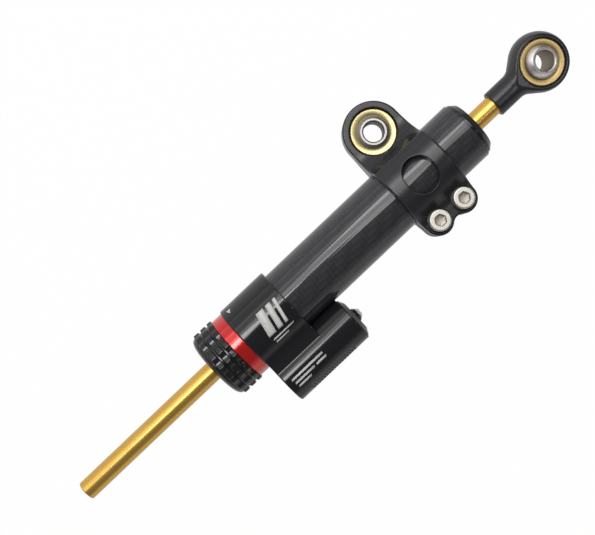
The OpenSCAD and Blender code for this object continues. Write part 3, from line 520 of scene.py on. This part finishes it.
# Upper cap: bevelled nose over the tube's end, spigot inside the tube
cap = {"corners": [(29.7, 6.36), (29.7, 10.3), (27.5, 12.1), (26.42, 12.1), (26.42, 10.98), (9.7, 10.98),
                   (9.7, 10.22), (12.7, 10.22), (12.7, 5.26), (27.2, 5.26), (27.2, 6.36)],
       "radii": [0.15, 0.5, 0.8, 0.1, 0, 0, 0, 0, 0, 0, 0]}
addTurned("upper_end_cap", cap["corners"], cap["radii"], onDamper, 160, blockBlack, "damper_body",
          "upper_cap")

# Red ring between block and knob
redRing = {"left": -97.3, "right": -92.3, "outer": 14.1, "inner": 13.3, "edge": 0.22}
corners = [(redRing["left"], redRing["inner"]), (redRing["left"], redRing["outer"]),
           (redRing["right"], redRing["outer"]), (redRing["right"], redRing["inner"])]
addTurned("red_index_ring", corners, [0, redRing["edge"], redRing["edge"], 0], onDamper, 192, ringRed,
          "damper_body", "index_ring")
print("rod, tube, cap and ring made")

# Knob: closed profile whose outside carries rows and columns of raised teeth
knob = {"left": -109.0, "right": -97.4, "base": 14.05, "tooth": 0.9, "round": 5.0, "nose": 2.3, "hole": 6.6,
        "wall": 2.0, "inside": 9.04, "track": (11.4, 13.4, 1.5), "columns": 15, "slot": 4.3, "phase": 8.0,
        "rows": ((-106.35, -103.85), (-102.9, -100.4), (-99.45, -97.25)), "flank": 0.35,
        "slotDepth": 0.70, "slotLip": 0.05, "lip": 0.35, "bevel": 0.12}


# Height of a row of teeth from 0 to 1 at x: straight flanks at each row's ends, eased at their corners.
def rowHeight(x, rows, flank, ease=0.1):
    # Straight rise from 0 to 1 while s goes from 0 to 1, eased at both ends
    def rise(s):
        return (1 + np.hypot(s, ease) - np.hypot(s - 1, ease)) / 2
    return sum(rise((x - a) / flank + 0.5) * rise((b - x) / flank + 0.5) for a, b in rows)


# Lines across each edge: even steps from one flank's width before it to one after it.
def edgeLines(edges, flank):
    near = np.linspace(-1, 1, 11) * flank
    return np.sort((np.asarray(edges)[:, None] + near).ravel())


nose = np.linspace(0, np.pi / 2, 10)
noseX = knob["left"] + knob["nose"] * (1 - np.cos(nose))
noseR = knob["base"] - knob["round"] * (1 - np.sin(nose))
toothX = edgeLines(np.array(knob["rows"]).ravel()[:-1], knob["flank"])
wallX = knob["left"] + knob["wall"]
faceLine = roundedProfile([(wallX, knob["hole"]), (knob["left"], knob["hole"]), (noseX[0], noseR[0])],
                          [0, knob["lip"], 0])
trackIn, trackOut, trackDepth = knob["track"]
trackX = knob["right"] - trackDepth
backLine = np.array([(knob["right"], trackOut), (trackX, trackOut), (trackX, trackIn),
                     (knob["right"], trackIn), (knob["right"], knob["inside"]), (wallX, knob["inside"])])
rimX = [knob["right"] - knob["bevel"], knob["right"]]
rimR = [knob["base"], knob["base"] - knob["bevel"]]
knobX = np.concatenate([faceLine[:-1, 0], noseX, toothX, rimX, backLine[:, 0]])
knobR = np.concatenate([faceLine[:-1, 1], noseR, np.full(len(toothX), knob["base"]), rimR, backLine[:, 1]])
# A slot is a shallow scallop: its rise (offset / half width) ** 2 is brought softly to 1 at the lips
pitch = 2 * np.pi / knob["columns"]
slotHalf = 0.5 * knob["slot"] / (knob["base"] + knob["tooth"])
side = np.array([0.25, 0.45, 0.6, 0.72, 0.82, 0.9, 0.97, 1.03, 1.1, 1.2, 1.35])
across = slotHalf * np.concatenate([-side[::-1], [0], side, [pitch / 2 / slotHalf]])
t = (math.radians(knob["phase"]) + pitch * (np.arange(knob["columns"])[:, None] + 0.5) + across).ravel()
climb = np.tile((across / slotHalf) ** 2, knob["columns"])
scoop = (climb + 1 - np.hypot(climb - 1, knob["slotLip"])) / 2
column = 1 - (1 - scoop) * knob["slotDepth"] / knob["tooth"]
outside = np.zeros(len(knobX))
start = len(faceLine) - 1 + len(noseX)
outside[start:start + len(toothX) + 2] = 1
height = rowHeight(knobX, knob["rows"], knob["flank"]) * outside
teeth = knob["tooth"] * height[:, None] * column[None]
points, faces, _ = turned(knobX, knobR[:, None] + teeth, onDamper, t, True)
addPiece("toothed_knob", points, faces, knobBlack, "adjuster", "adjuster_knob",
         crease=50)
print("knob made")

# Valve block: main lobe and flat web as one outline in YZ, carried along X with rounded ends
block = {"left": -92.3, "right": -69.8, "lobe": 14.8, "web": 8.8, "reach": axisY - reservoirY, "edge": 0.5,
         "lobeFillet": 8.0, "shellFillet": 2.0, "shell": 9.7, "ringBore": 13.3, "tubeBore": 12.77,
         "seat": -78.9, "hold": 1.2}


# Points of an arc in YZ about a centre: centre + radius * (cos(angle), sin(angle)).
def arcPoints(centre, radius, start, end, steps):
    angle = np.linspace(start, end, steps)
    return np.asarray(centre) + radius * np.stack([np.cos(angle), np.sin(angle)], -1)


# Points of closed sections in YZ, each at its own x.
def sectionPoints(sections):
    return np.concatenate([np.column_stack([np.full(len(p), x), p]) for x, p in sections])


# The fillets' centres lie their radius over the web, and their radius outside the lobe and the reservoir
lobeZ = block["web"] + block["lobeFillet"]
lobeY = -math.sqrt((block["lobe"] + block["lobeFillet"]) ** 2 - lobeZ ** 2)
shellZ = block["web"] + block["shellFillet"]
shellY = math.sqrt((block["shell"] + block["shellFillet"]) ** 2 - shellZ ** 2)
upper = np.concatenate([
    arcPoints((0, 0), block["lobe"], 0, math.atan2(lobeZ, lobeY), 91),
    arcPoints((lobeY, lobeZ), block["lobeFillet"], math.atan2(-lobeZ, -lobeY), -np.pi / 2, 9)[1:],
    arcPoints((shellY - block["reach"], shellZ), block["shellFillet"], -np.pi / 2,
              math.atan2(-shellZ, -shellY), 7),
    [(-block["reach"], block["web"] - 1)]])
outline = np.concatenate([upper[:0:-1] * (1, -1), upper])
tangent = np.roll(outline, -1, 0) - np.roll(outline, 1, 0)
tangent /= np.linalg.norm(tangent, axis=1)[:, None]
outNormal = np.stack([tangent[:, 1], -tangent[:, 0]], -1)
spokes = outline / np.linalg.norm(outline, axis=1)[:, None]
bend = np.linspace(0, np.pi / 2, 6)
inset = block["edge"] * (1 - np.sin(bend))
shift = block["edge"] * (1 - np.cos(bend))
held = block["hold"] * block["edge"]
rings = [(block["left"], spokes * block["ringBore"])]
rings += [(block["left"] + s, outline - outNormal * d) for s, d in zip(shift, inset)]
rings += [(block["left"] + held, outline), (block["right"] - held, outline)]
rings += [(block["right"] - s, outline - outNormal * d) for s, d in zip(shift[::-1], inset[::-1])]
rings += [(block["right"], spokes * block["tubeBore"]), (block["seat"], spokes * block["tubeBore"]),
          (block["seat"], spokes * block["ringBore"])]
points = sectionPoints(rings) + (0, axisY, axisZ)
faces = gridQuads(len(rings), len(outline), True, True)
addPiece("valve_block_body", points, faces, blockBlack, "damper_body", "valve_block")

# Reservoir: turned shell with fine grooves cut into its outer side over part of the turn
reservoir = {"left": -92.3, "joint": -56.4, "radius": 9.7, "bore": 7.67, "floor": -83.8, "edge": 0.6,
             "lip": 0.22, "hold": 0.2, "count": 17, "pitch": 1.35, "width": 0.75, "depth": 0.75,
             "flank": 0.40, "first": -85.5, "band": (23.0, 15.0), "fade": 6.0}
shellRadius = reservoir["radius"]
firstCut = reservoir["first"] + reservoir["pitch"] * np.arange(reservoir["count"])
cuts = np.stack([firstCut, firstCut + reservoir["width"]], -1)
cutX = edgeLines(cuts.ravel(), reservoir["flank"])
startLine = roundedProfile([(reservoir["left"], 0), (reservoir["left"], shellRadius),
                            (cutX[0] - reservoir["hold"], shellRadius)], [0, reservoir["edge"], 0])
endLine = roundedProfile([(cutX[-1] + reservoir["hold"], shellRadius), (reservoir["joint"], shellRadius),
                          (reservoir["joint"], reservoir["bore"]), (reservoir["floor"], reservoir["bore"]),
                          (reservoir["floor"], 0)], [0, reservoir["lip"], 0, 0, 0])
shellX = np.concatenate([startLine[:, 0], cutX, endLine[:, 0]])
shellR = np.concatenate([startLine[:, 1], np.full(len(cutX), shellRadius), endLine[:, 1]])
t = np.arange(144) * 2 * np.pi / 144
fromSide = np.degrees(np.abs((t - np.pi / 2 + np.pi) % (2 * np.pi) - np.pi))  # degrees from -Y
bandMiddle, bandHalf = reservoir["band"]
arcShare = np.clip((bandHalf - np.abs(fromSide - bandMiddle)) / reservoir["fade"] + 0.5, 0, 1)
onOutside = shellR > shellRadius - 1e-6
cutDepth = reservoir["depth"] * rowHeight(shellX, cuts, reservoir["flank"]) * onOutside
points, faces, _ = turned(shellX, shellR[:, None] - cutDepth[:, None] * arcShare[None], onReservoir, t)
addPiece("reservoir_shell", points, faces, blockBlack, "damper_body", "valve_block")

# Painted shade: a black wedge that closes the gap between tube and reservoir so that it shows dark,
# bounded by both circles just under where they meet
saddle = {"left": -69.9, "right": -56.5, "top": -1.0, "low": -2.6}
z = np.linspace(saddle["top"], saddle["low"], 9)
tubeSide = np.stack([-np.sqrt(tube["outer"] ** 2 - z ** 2), z], -1)
shellSide = np.stack([np.sqrt(shellRadius ** 2 - z ** 2) - block["reach"], z], -1)
section = np.concatenate([tubeSide, shellSide[::-1]]) + (axisY, axisZ)
middle = np.repeat(section.mean(0)[None], len(section), 0)
rings = [(saddle["left"], middle), (saddle["left"], section)]
rings += [(saddle["right"], section), (saddle["right"], middle)]
points = sectionPoints(rings)
faces = gridQuads(len(rings), len(section), False, True)
addPiece("reservoir_saddle", points, faces, blockBlack, "damper_body", "valve_block")

# Reservoir cap, charge plug and its domed screw
reservoirCap = {"corners": [(-56.4, 7.65), (-56.38, 9.7), (-54.6, 6.4), (-54.6, 2.42), (-62.4, 2.42),
                            (-62.4, 7.65)],
                "radii": [0, 0.22, 0.3, 0, 0, 0]}
addTurned("reservoir_end_cap", reservoirCap["corners"], reservoirCap["radii"], onReservoir, 128, blockBlack,
          "damper_body", "reservoir_cap")

plug = {"corners": [(-62.4, 1.22), (-62.4, 2.4), (-54.58, 2.4), (-54.58, 3.3), (-53.3, 2.2), (-53.3, 1.22)],
        "radii": [0, 0, 0, 0.2, 0.15, 0]}
addTurned("charge_plug_collar", plug["corners"], plug["radii"], onReservoir, 96, blockBlack, "damper_body",
          "charge_plug")


# Radius of a hexagon from its half width across flats: half / cos(angle from the nearest flat).
def hexRadius(t, half):
    return half / np.cos(t % (np.pi / 3) - np.pi / 6)


screw = {"seat": -53.3, "height": 1.4, "radius": 2.2, "shank": 1.2, "length": 4.0, "socket": 0.73,
         "mouth": 1.1, "sink": 0.08}
t = np.arange(96) * 2 * np.pi / 96
domeRadius = (screw["radius"] ** 2 + screw["height"] ** 2) / (2 * screw["height"])
swing = np.linspace(screw["mouth"], screw["radius"], 9)
domeX = screw["seat"] + screw["height"] - domeRadius + np.sqrt(domeRadius ** 2 - swing ** 2)
hexT = hexRadius(t, screw["socket"])
shankT = np.full(len(t), screw["shank"])
socketFloor = screw["seat"] + screw["height"] / 3
shankEnd = screw["seat"] - screw["length"]
screwX = np.concatenate([[socketFloor, socketFloor, domeX[0] - screw["sink"]], domeX,
                         [screw["seat"], shankEnd, shankEnd]])
screwR = np.concatenate([[0 * t, hexT, hexT], np.repeat(swing[:, None], len(t), 1), [shankT, shankT, 0 * t]])
points, faces, _ = turned(screwX, screwR, onReservoir, t)
addPiece("charge_screw_dome", points, faces, screwSteel, "damper_body", "charge_screw")
print("block, reservoir and charge valve made")

# Clamp: distance field of ring, eye plate, cove, lugs, window and bores, with every edge rounded
clamp = {"ring": 15.9, "tube": 12.79, "plate": 5.6, "drop": axisZ, "lug": 8.0, "eyeY": -axisY, "eye": 12.3,
         "coveR": 11.0, "cove": (23.17, 9.78), "fillTop": 8.3, "coveEdge": 0.5, "foot": 2.5, "footTop": 4.0,
         "lugFillet": 2.0, "halfWidths": (12.13, 12.7, 12.7, 12.28), "lobe": 5.9, "notchDepth": 2.3,
         "slit": 0.8, "window": (6.35, 1.15), "head": 4.7, "seat": 7.8, "shank": 2.52, "bore": 9.52,
         "edge": 0.8, "boreEdge": 0.35, "slitEdge": 0.25, "windowEdge": 0.45, "headEdge": 0.3, "cell": 0.4}
lobeStep = clamp["lobe"] - clamp["notchDepth"]
clamp["notch"] = (boltX ** 2 + lobeStep ** 2 - clamp["lobe"] ** 2) / (2 * clamp["notchDepth"])
clamp["notchY"] = boltY - lobeStep - clamp["notch"]


# Distance to the clamp: the section seen along the tube meets the plan seen from above, less the bores.
# Ring and plate are joined by their minimum, and cuts are made by the maximum with the cut's negative.
def clampField(x, y, z):
    y = y - axisY
    z = z - axisZ
    ax = np.abs(x)
    ring = np.hypot(y, z) - clamp["ring"]
    plate = np.maximum(np.abs(z + clamp["drop"]) - clamp["plate"], -y)
    coveY, coveZ = clamp["cove"]
    cove = clamp["coveR"] - np.hypot(y - coveY, z - coveZ)
    fill = np.maximum(np.maximum(-y, y - coveY), np.maximum(z - clamp["fillTop"], -z - clamp["drop"]))
    plate = np.minimum(plate, np.maximum(fill, cove))
    foot = 0.001 + clamp["foot"] * np.clip((-z - clamp["footTop"]) / clamp["footTop"], 0, 1)
    section = roundMin(roundMax(ring, cove, clamp["coveEdge"]), plate, foot)
    section = roundMin(section, np.maximum(np.abs(z) - clamp["lug"], y), clamp["lugFillet"])
    stations = (boltY, -tube["outer"], tube["outer"], clamp["eyeY"])
    wide = np.interp(y, stations, clamp["halfWidths"])
    sides = np.maximum(ax - wide, np.maximum(y - clamp["eyeY"], boltY - y))
    eye = np.hypot(x, y - clamp["eyeY"]) - clamp["eye"]
    heads = np.hypot(ax - boltX, y - boltY)
    rise = boltY - clamp["notchY"]
    wedge = (ax * rise - boltX * (y - clamp["notchY"])) / math.hypot(rise, boltX)
    wedge = np.maximum(wedge, y - boltY - 1)
    between = np.maximum(wedge, clamp["notch"] - np.hypot(x, y - clamp["notchY"]))
    plan = np.minimum(np.minimum(sides, eye), np.minimum(heads - clamp["lobe"], between))
    solid = roundMax(section, plan, clamp["edge"])
    solid = roundMax(solid, clamp["tube"] - np.hypot(y, z), clamp["boreEdge"])
    solid = roundMax(solid, -np.maximum(np.abs(z) - clamp["slit"], y), clamp["slitEdge"])
    windowR, windowHalf = clamp["window"]
    window = np.hypot(x, np.maximum(np.abs(y) - windowHalf, 0)) - windowR
    solid = roundMax(solid, -np.maximum(window, -z), clamp["windowEdge"])
    solid = roundMax(solid, -np.maximum(heads - clamp["head"], clamp["seat"] - z), clamp["headEdge"])
    solid = np.maximum(solid, clamp["shank"] - heads)
    return roundMax(solid, clamp["bore"] - np.hypot(x, y - clamp["eyeY"]), clamp["boreEdge"])


clampHalf = max(clamp["halfWidths"])
clampLow = (-clampHalf, axisY + boltY - clamp["lobe"], axisZ - clamp["ring"])
clampHigh = (clampHalf, clamp["eye"], axisZ + clamp["ring"])
points, faces, normals = levelSurface(clampField, clampLow, clampHigh, clamp["cell"])
addPiece("mount_clamp_body", points, faces, clampBlack, "clamp", "mount_clamp",
         normals=normals)
print("clamp made:", len(faces), "faces")

# Rod eye: turned shank, flare and round head milled flat on two sides
rodEye = {"head": 12.0, "flat": 5.3, "shank": 5.4, "reach": 24.5, "flare": 38.0, "fillet": 1.0, "bore": 9.52,
          "edge": 0.6, "boreEdge": 0.2, "endEdge": 0.6, "rod": 4.02, "seat": -21.0, "stud": 3.02,
          "studEnd": -12.9, "ease": (-13.5, 3.0), "swell": 0.35, "cell": 0.33}


# Distance to the rod eye about its own centre: shank, cone and ball joined by their minima, met by the slab
# between the flats, less the bore and the rod's hole.
def rodEyeField(x, y, z):
    rho = np.hypot(y, z)
    tilt = math.radians(rodEye["flare"])
    ball = np.sqrt(x * x + y * y + z * z) - rodEye["head"]
    cone = rho * math.cos(tilt) - x * math.sin(tilt) - rodEye["head"]
    cone = np.maximum(cone, x + rodEye["head"] * math.sin(tilt))
    shank = roundMax(rho - rodEye["shank"], -rodEye["reach"] - x, rodEye["endEdge"])
    shank = np.maximum(shank, x)
    body = np.minimum(roundMin(shank, cone, rodEye["fillet"]), ball)
    easeStart, easeLength = rodEye["ease"]
    ease = np.clip((easeStart - x) / easeLength, 0, 1)
    slab = np.abs(z) - rodEye["flat"] - rodEye["swell"] * ease * ease * (3 - 2 * ease)
    body = roundMax(body, slab, rodEye["edge"])
    body = roundMax(body, rodEye["bore"] - np.hypot(x, y), rodEye["boreEdge"])
    hole = np.maximum(rho - rodEye["rod"], x - rodEye["seat"])
    hole = np.minimum(hole, np.maximum(rho - rodEye["stud"], x - rodEye["studEnd"]))
    return np.maximum(body, -hole)


eyeLow = (-rodEye["reach"], -rodEye["head"], -rodEye["shank"])
eyeHigh = (rodEye["head"], rodEye["head"], rodEye["shank"])
points, faces, normals = levelSurface(rodEyeField, eyeLow, eyeHigh, rodEye["cell"])
addPiece("rod_eye_body", points @ eyeTurn.T + eyeCentre, faces, clampBlack, "rod_set", "rod_eye",
         normals=normals @ eyeTurn.T)
print("rod eye made:", len(faces), "faces")

# Ball joints: race with bevelled mouths, and ball between flat faces with a chamfered bore
joint = {"race": 9.5, "raceHalf": 4.5, "bevel": 0.5, "mouth": 7.5, "seat": 7.98, "seatZ": 4.155,
         "raceEdge": 0.2, "ball": 7.94, "ballHalf": 6.0, "bore": 4.0, "chamfer": 0.5, "ballEdge": 0.12,
         "hold": 0.05}


# Profile of a ball to a height on both sides: radius * (sin, cos) of the angle.
def ballProfile(radius, height, steps):
    swing = np.linspace(-1, 1, steps) * math.asin(height / radius)
    return radius * np.stack([np.sin(swing), np.cos(swing)], -1)


# Half a profile of three corners, followed by its mirror image, with the inner corners rounded.
def bothHalves(corners, edge):
    half = np.array(corners)
    return roundedProfile(np.concatenate([half, half[::-1] * (-1, 1)]), [0, edge, edge, edge, edge, 0])


h = joint["raceHalf"]
rim = bothHalves([(h, joint["mouth"]), (h, joint["race"] - joint["bevel"]),
                  (h - joint["bevel"], joint["race"])], joint["raceEdge"])
raceLine = np.concatenate([ballProfile(joint["seat"], joint["seatZ"], 25), rim])
h = joint["ballHalf"]
ballLine = ballProfile(joint["ball"], h, 33)
boreLine = bothHalves([(h, ballLine[-1, 1] - joint["hold"]), (h, joint["bore"] + joint["chamfer"]),
                       (h - joint["chamfer"], joint["bore"])], joint["ballEdge"])
ballLine = np.concatenate([ballLine, boreLine])
for name, place, line, finish, body, node, slotName in (
        ("clamp_bearing_race", atClampEye, raceLine, clampRaceGold, "clamp", "clamp_race", "gold_race"),
        ("rod_eye_bearing_race", atRodEye, raceLine, eyeRaceGold, "rod_set", "rod_eye_race", "gold_race"),
        ("clamp_bearing_ball", atClampEye, ballLine, clampBallSteel, "clamp_ball", "clamp_ball",
         "bearing_steel"),
        ("rod_eye_bearing_ball", atRodBall, ballLine, rodBallSteel, "rod_ball", "rod_eye_ball",
         "bearing_steel")):
    points, faces, _ = turned(*line.T, place, 144, True)
    addPiece(name, points, faces, finish, body, node)

# Clamp bolts: hexagon socket, rounded top, knurled head and shank
bolt = {"top": 12.8, "low": -8.0, "head": 4.25, "land": 2.7, "shank": 2.5, "socket": 2.0, "floor": 10.9,
        "point": 0.5, "bevel": (0.3, 0.22), "knurls": 36, "knurl": 0.05, "edge": 0.55}
t = np.arange(144) * 2 * np.pi / 144
hexT = hexRadius(t, bolt["socket"])
shankT = np.full(len(t), bolt["shank"])
edge = roundedProfile([(bolt["top"], bolt["land"]), (bolt["top"], bolt["head"]),
                       (clamp["seat"], bolt["head"])], [0, bolt["edge"], 0])
knurl = bolt["knurl"] * (np.cos(bolt["knurls"] * t) - 1)
bevelDepth, bevelWidth = bolt["bevel"]
boltZ = np.concatenate([[bolt["floor"] - bolt["point"], bolt["floor"], bolt["top"] - bevelDepth, bolt["top"]],
                        edge[:, 0], [clamp["seat"], bolt["low"], bolt["low"]]])
onSide = edge[:, 0] < bolt["top"] - bolt["edge"] + 0.01
headR = edge[:, 1, None] + onSide[:, None] * knurl[None]
boltR = np.concatenate([[0 * t, hexT, hexT, hexT + bevelWidth], headR, [shankT, shankT, 0 * t]])
for side, place in boltPlaces.items():
    points, faces, _ = turned(boltZ, boltR, place, t)
    addPiece("socket_bolt_" + side, points, faces, boltSteel[side], "clamp", "clamp_bolt_" + side)
print("ball joints and bolts made")

# Printed marks: slanted bars and a small pointer on the block, bars on the reservoir. A bar has its left end,
# width, slant, and first and last angle.
marks = {"lift": 0.02, "thick": 0.06, "grid": (3, 13), "taper": 0.96,
         "block": ((-83.2, 3.6, 2.2, -18, 22), (-78.4, 2.4, 2.2, -18, 22), (-74.8, 1.4, 2.2, -18, 22),
                   (-83.6, 10.4, 0.3, 28, 30.5), (-83.4, 6.4, 0.3, 34, 36.5)),
         "pointer": (-90.0, 2.0, 0, -62, -52),
         "reservoir": ((-89.6, 16.0, 0.4, 3, 8), (-89.3, 10.0, 0.4, 14, 19), (-78.3, 5.0, 0.4, 14, 19),
                       (-89.0, 6.5, 0.4, 25, 30))}


# A bar laid on a cylinder: angle = low + q * (high - low), and x runs over the width, moved by the slant and
# drawn in toward its middle by the taper as q grows.
def printedPatch(place, radius, x0, width, slant, low, high, taper=0.0):
    s, q = np.meshgrid(*[np.linspace(0, 1, count) for count in marks["grid"]], indexing="ij")
    angle = np.radians(low + q * (high - low))
    x = x0 + width * (0.5 + (s - 0.5) * (1 - taper * q)) + slant * (0.5 - q)
    r = radius + marks["lift"]
    y = place["origin"][1] - r * np.sin(angle)
    points = np.stack([x, y, axisZ + r * np.cos(angle)], -1).reshape(-1, 3)
    return points, gridQuads(*marks["grid"])


# All bars of one place as a single piece: their points in a row, with each bar's faces counted on.
def addMarks(name, patches):
    points = np.concatenate([p for p, f in patches])
    starts = np.cumsum([0] + [len(p) for p, f in patches[:-1]])
    faces = np.concatenate([f + s for (p, f), s in zip(patches, starts)])
    piece = addPiece(name, points, faces, whiteInk, "damper_body", "valve_block")
    solid = piece.modifiers.new("ink", "SOLIDIFY")
    solid.thickness = marks["thick"] * mm
    solid.offset = -1


patches = [printedPatch(onDamper, block["lobe"], *bar) for bar in marks["block"]]
patches.append(printedPatch(onDamper, block["lobe"], *marks["pointer"], marks["taper"]))
addMarks("block_marks", patches)
addMarks("reservoir_marks", [printedPatch(onReservoir, shellRadius, *bar) for bar in marks["reservoir"]])
print("marks made")

# Camera looking straight down on the damper, turned so that the damper runs up to the right
view = {"centre": (-58.2, axisY + 6.6), "height": 496.0 + axisZ, "turn": 43.51, "lens": 76.8}
turn = math.radians(view["turn"])
cameraData = bpy.data.cameras.new("camera")
cameraData.sensor_width = 36.0
cameraData.lens = view["lens"]
cameraData.clip_start = 0.01
cameraData.clip_end = 20.0
camera = addObject("camera", cameraData)
camera.matrix_world = Matrix(((math.cos(turn), math.sin(turn), 0, view["centre"][0] * mm),
                              (-math.sin(turn), math.cos(turn), 0, view["centre"][1] * mm),
                              (0, 0, 1, view["height"] * mm), (0, 0, 0, 1)))
bpy.context.scene.camera = camera

# Studio: pale floor disc, dome that is dim overhead and pale near the floor, and lamps of even brightness. A
# lamp over the damper has its right and up from the camera's axis, size, height and radiance.
studio = {"floorX": -50.0, "floorZ": axisZ - 70.0, "floorR": 420.0, "floorSeen": 0.985,
          "floorMirrored": 0.25, "paper": (0.7, 0.7, 0.7, 1), "domeLight": 0.2, "domeTop": 0.12,
          "domeLow": 0.7, "domeRise": (0.0, 0.45), "domeRight": 0.4, "domeSide": (0.1, 0.8)}
overheadLamps = {"panel": ((-30, 315), (530, 370), 700, 2.3),
                 "hot_strip": ((-178, 27), (146, 174), 699, 9.5),
                 "low_strip": ((-20, 141), (230, 48), 699, 2.5),
                 "far_strip": ((-190, 385), (240, 120), 698, 3.5),
                 "small_strip": ((45, 87), (130, 58), 697, 4.6),
                 "eye_card": ((505, -25), (130, 130), 700, 6.5)}
roomLamps = {"ceiling": ((-50, 460, 760), (1500, 680), alongZ, 1.0),
             "wall": ((-50, 876, 625), (2200, 850), (0, 1, 0), 0.6)}


# Shares of a ray: 1 where the camera sees it straight, and 1 where it is reflected or passes through.
def seenRay(tree):
    path = put(tree, "LightPath")
    mirrored = calc(tree, "MAXIMUM", path.outputs["Is Glossy Ray"], path.outputs["Is Transmission Ray"])
    return path.outputs["Is Camera Ray"], mirrored


floorFinish = bpy.data.materials.new("studio_floor")
tree = emptyTree(floorFinish)
straight, mirrored = seenRay(tree)
paper = put(tree, "BsdfDiffuse", {"Color": studio["paper"]}).outputs[0]
glow = put(tree, "Emission", {"Color": (1, 1, 1, 1), "Strength": 1.0}).outputs[0]
share = weighted(tree, straight, studio["floorSeen"], mirrored, studio["floorMirrored"])
mixed = put(tree, "MixShader", {0: share, 1: paper, 2: glow}).outputs[0]
put(tree, "OutputMaterial", {"Surface": mixed})
floorPlace = {"origin": (studio["floorX"], axisY, studio["floorZ"]), "axis": alongZ, "front": alongX}
points, faces, _ = turned([0, 0], [0, studio["floorR"]], floorPlace, 96)
floorMesh = bpy.data.meshes.new("studio_floor")
floorMesh.from_pydata((points * mm).tolist(), [], faces.tolist())
floorMesh.materials.append(floorFinish)
floor = addObject("studio_floor", floorMesh)

# Dome: white to the camera, and in reflections brighter toward the floor
world = bpy.data.worlds.new("studio")
bpy.context.scene.world = world
tree = emptyTree(world)
straight, mirrored = seenRay(tree)
direction = put(tree, "SeparateXYZ", {0: put(tree, "TexCoord").outputs["Generated"]})
upShare = spread(tree, direction.outputs[2], studio["domeLow"], studio["domeTop"], *studio["domeRise"])
sideShare = spread(tree, direction.outputs[0], 1.0, studio["domeRight"], *studio["domeSide"])
dome = calc(tree, "MULTIPLY", upShare, sideShare)
strength = put(tree, "Mix", {0: mirrored, 2: studio["domeLight"], 3: dome}).outputs[0]
strength = put(tree, "Mix", {0: straight, 2: strength, 3: 1.0}).outputs[0]
sky = put(tree, "Background", {"Color": (1, 1, 1, 1), "Strength": strength}).outputs[0]
put(tree, "OutputWorld", {"Surface": sky})


# Lamp of a given radiance: power = pi * area * radiance. Its matrix columns are width, height, back, place.
def addLamp(name, centre, size, acrossAxis, backAxis, radiance):
    lamp = bpy.data.lights.new(name, "AREA")
    lamp.shape = "RECTANGLE"
    lamp.size = size[0] * mm
    lamp.size_y = size[1] * mm
    lamp.energy = math.pi * lamp.size * lamp.size_y * radiance
    made = addObject(name, lamp)
    x = np.array(acrossAxis, float)
    z = np.array(backAxis, float)
    y = np.cross(z, x)
    made.matrix_world = Matrix([[x[k], y[k], z[k], centre[k] * mm] for k in range(3)] + [[0, 0, 0, 1]])
    made.visible_camera = False


pictureRight = np.array([math.cos(turn), -math.sin(turn), 0])
pictureUp = np.array([math.sin(turn), math.cos(turn), 0])
for name, ((right, up), size, height, radiance) in overheadLamps.items():
    centre = np.array([*view["centre"], axisZ + height]) + right * pictureRight + up * pictureUp
    addLamp(name, centre, size, pictureRight, alongZ, radiance)
for name, (centre, size, backAxis, radiance) in roomLamps.items():
    addLamp(name, centre, size, alongX, backAxis, radiance)

bpy.context.scene.view_settings.view_transform = "Standard"
print("camera and studio made")
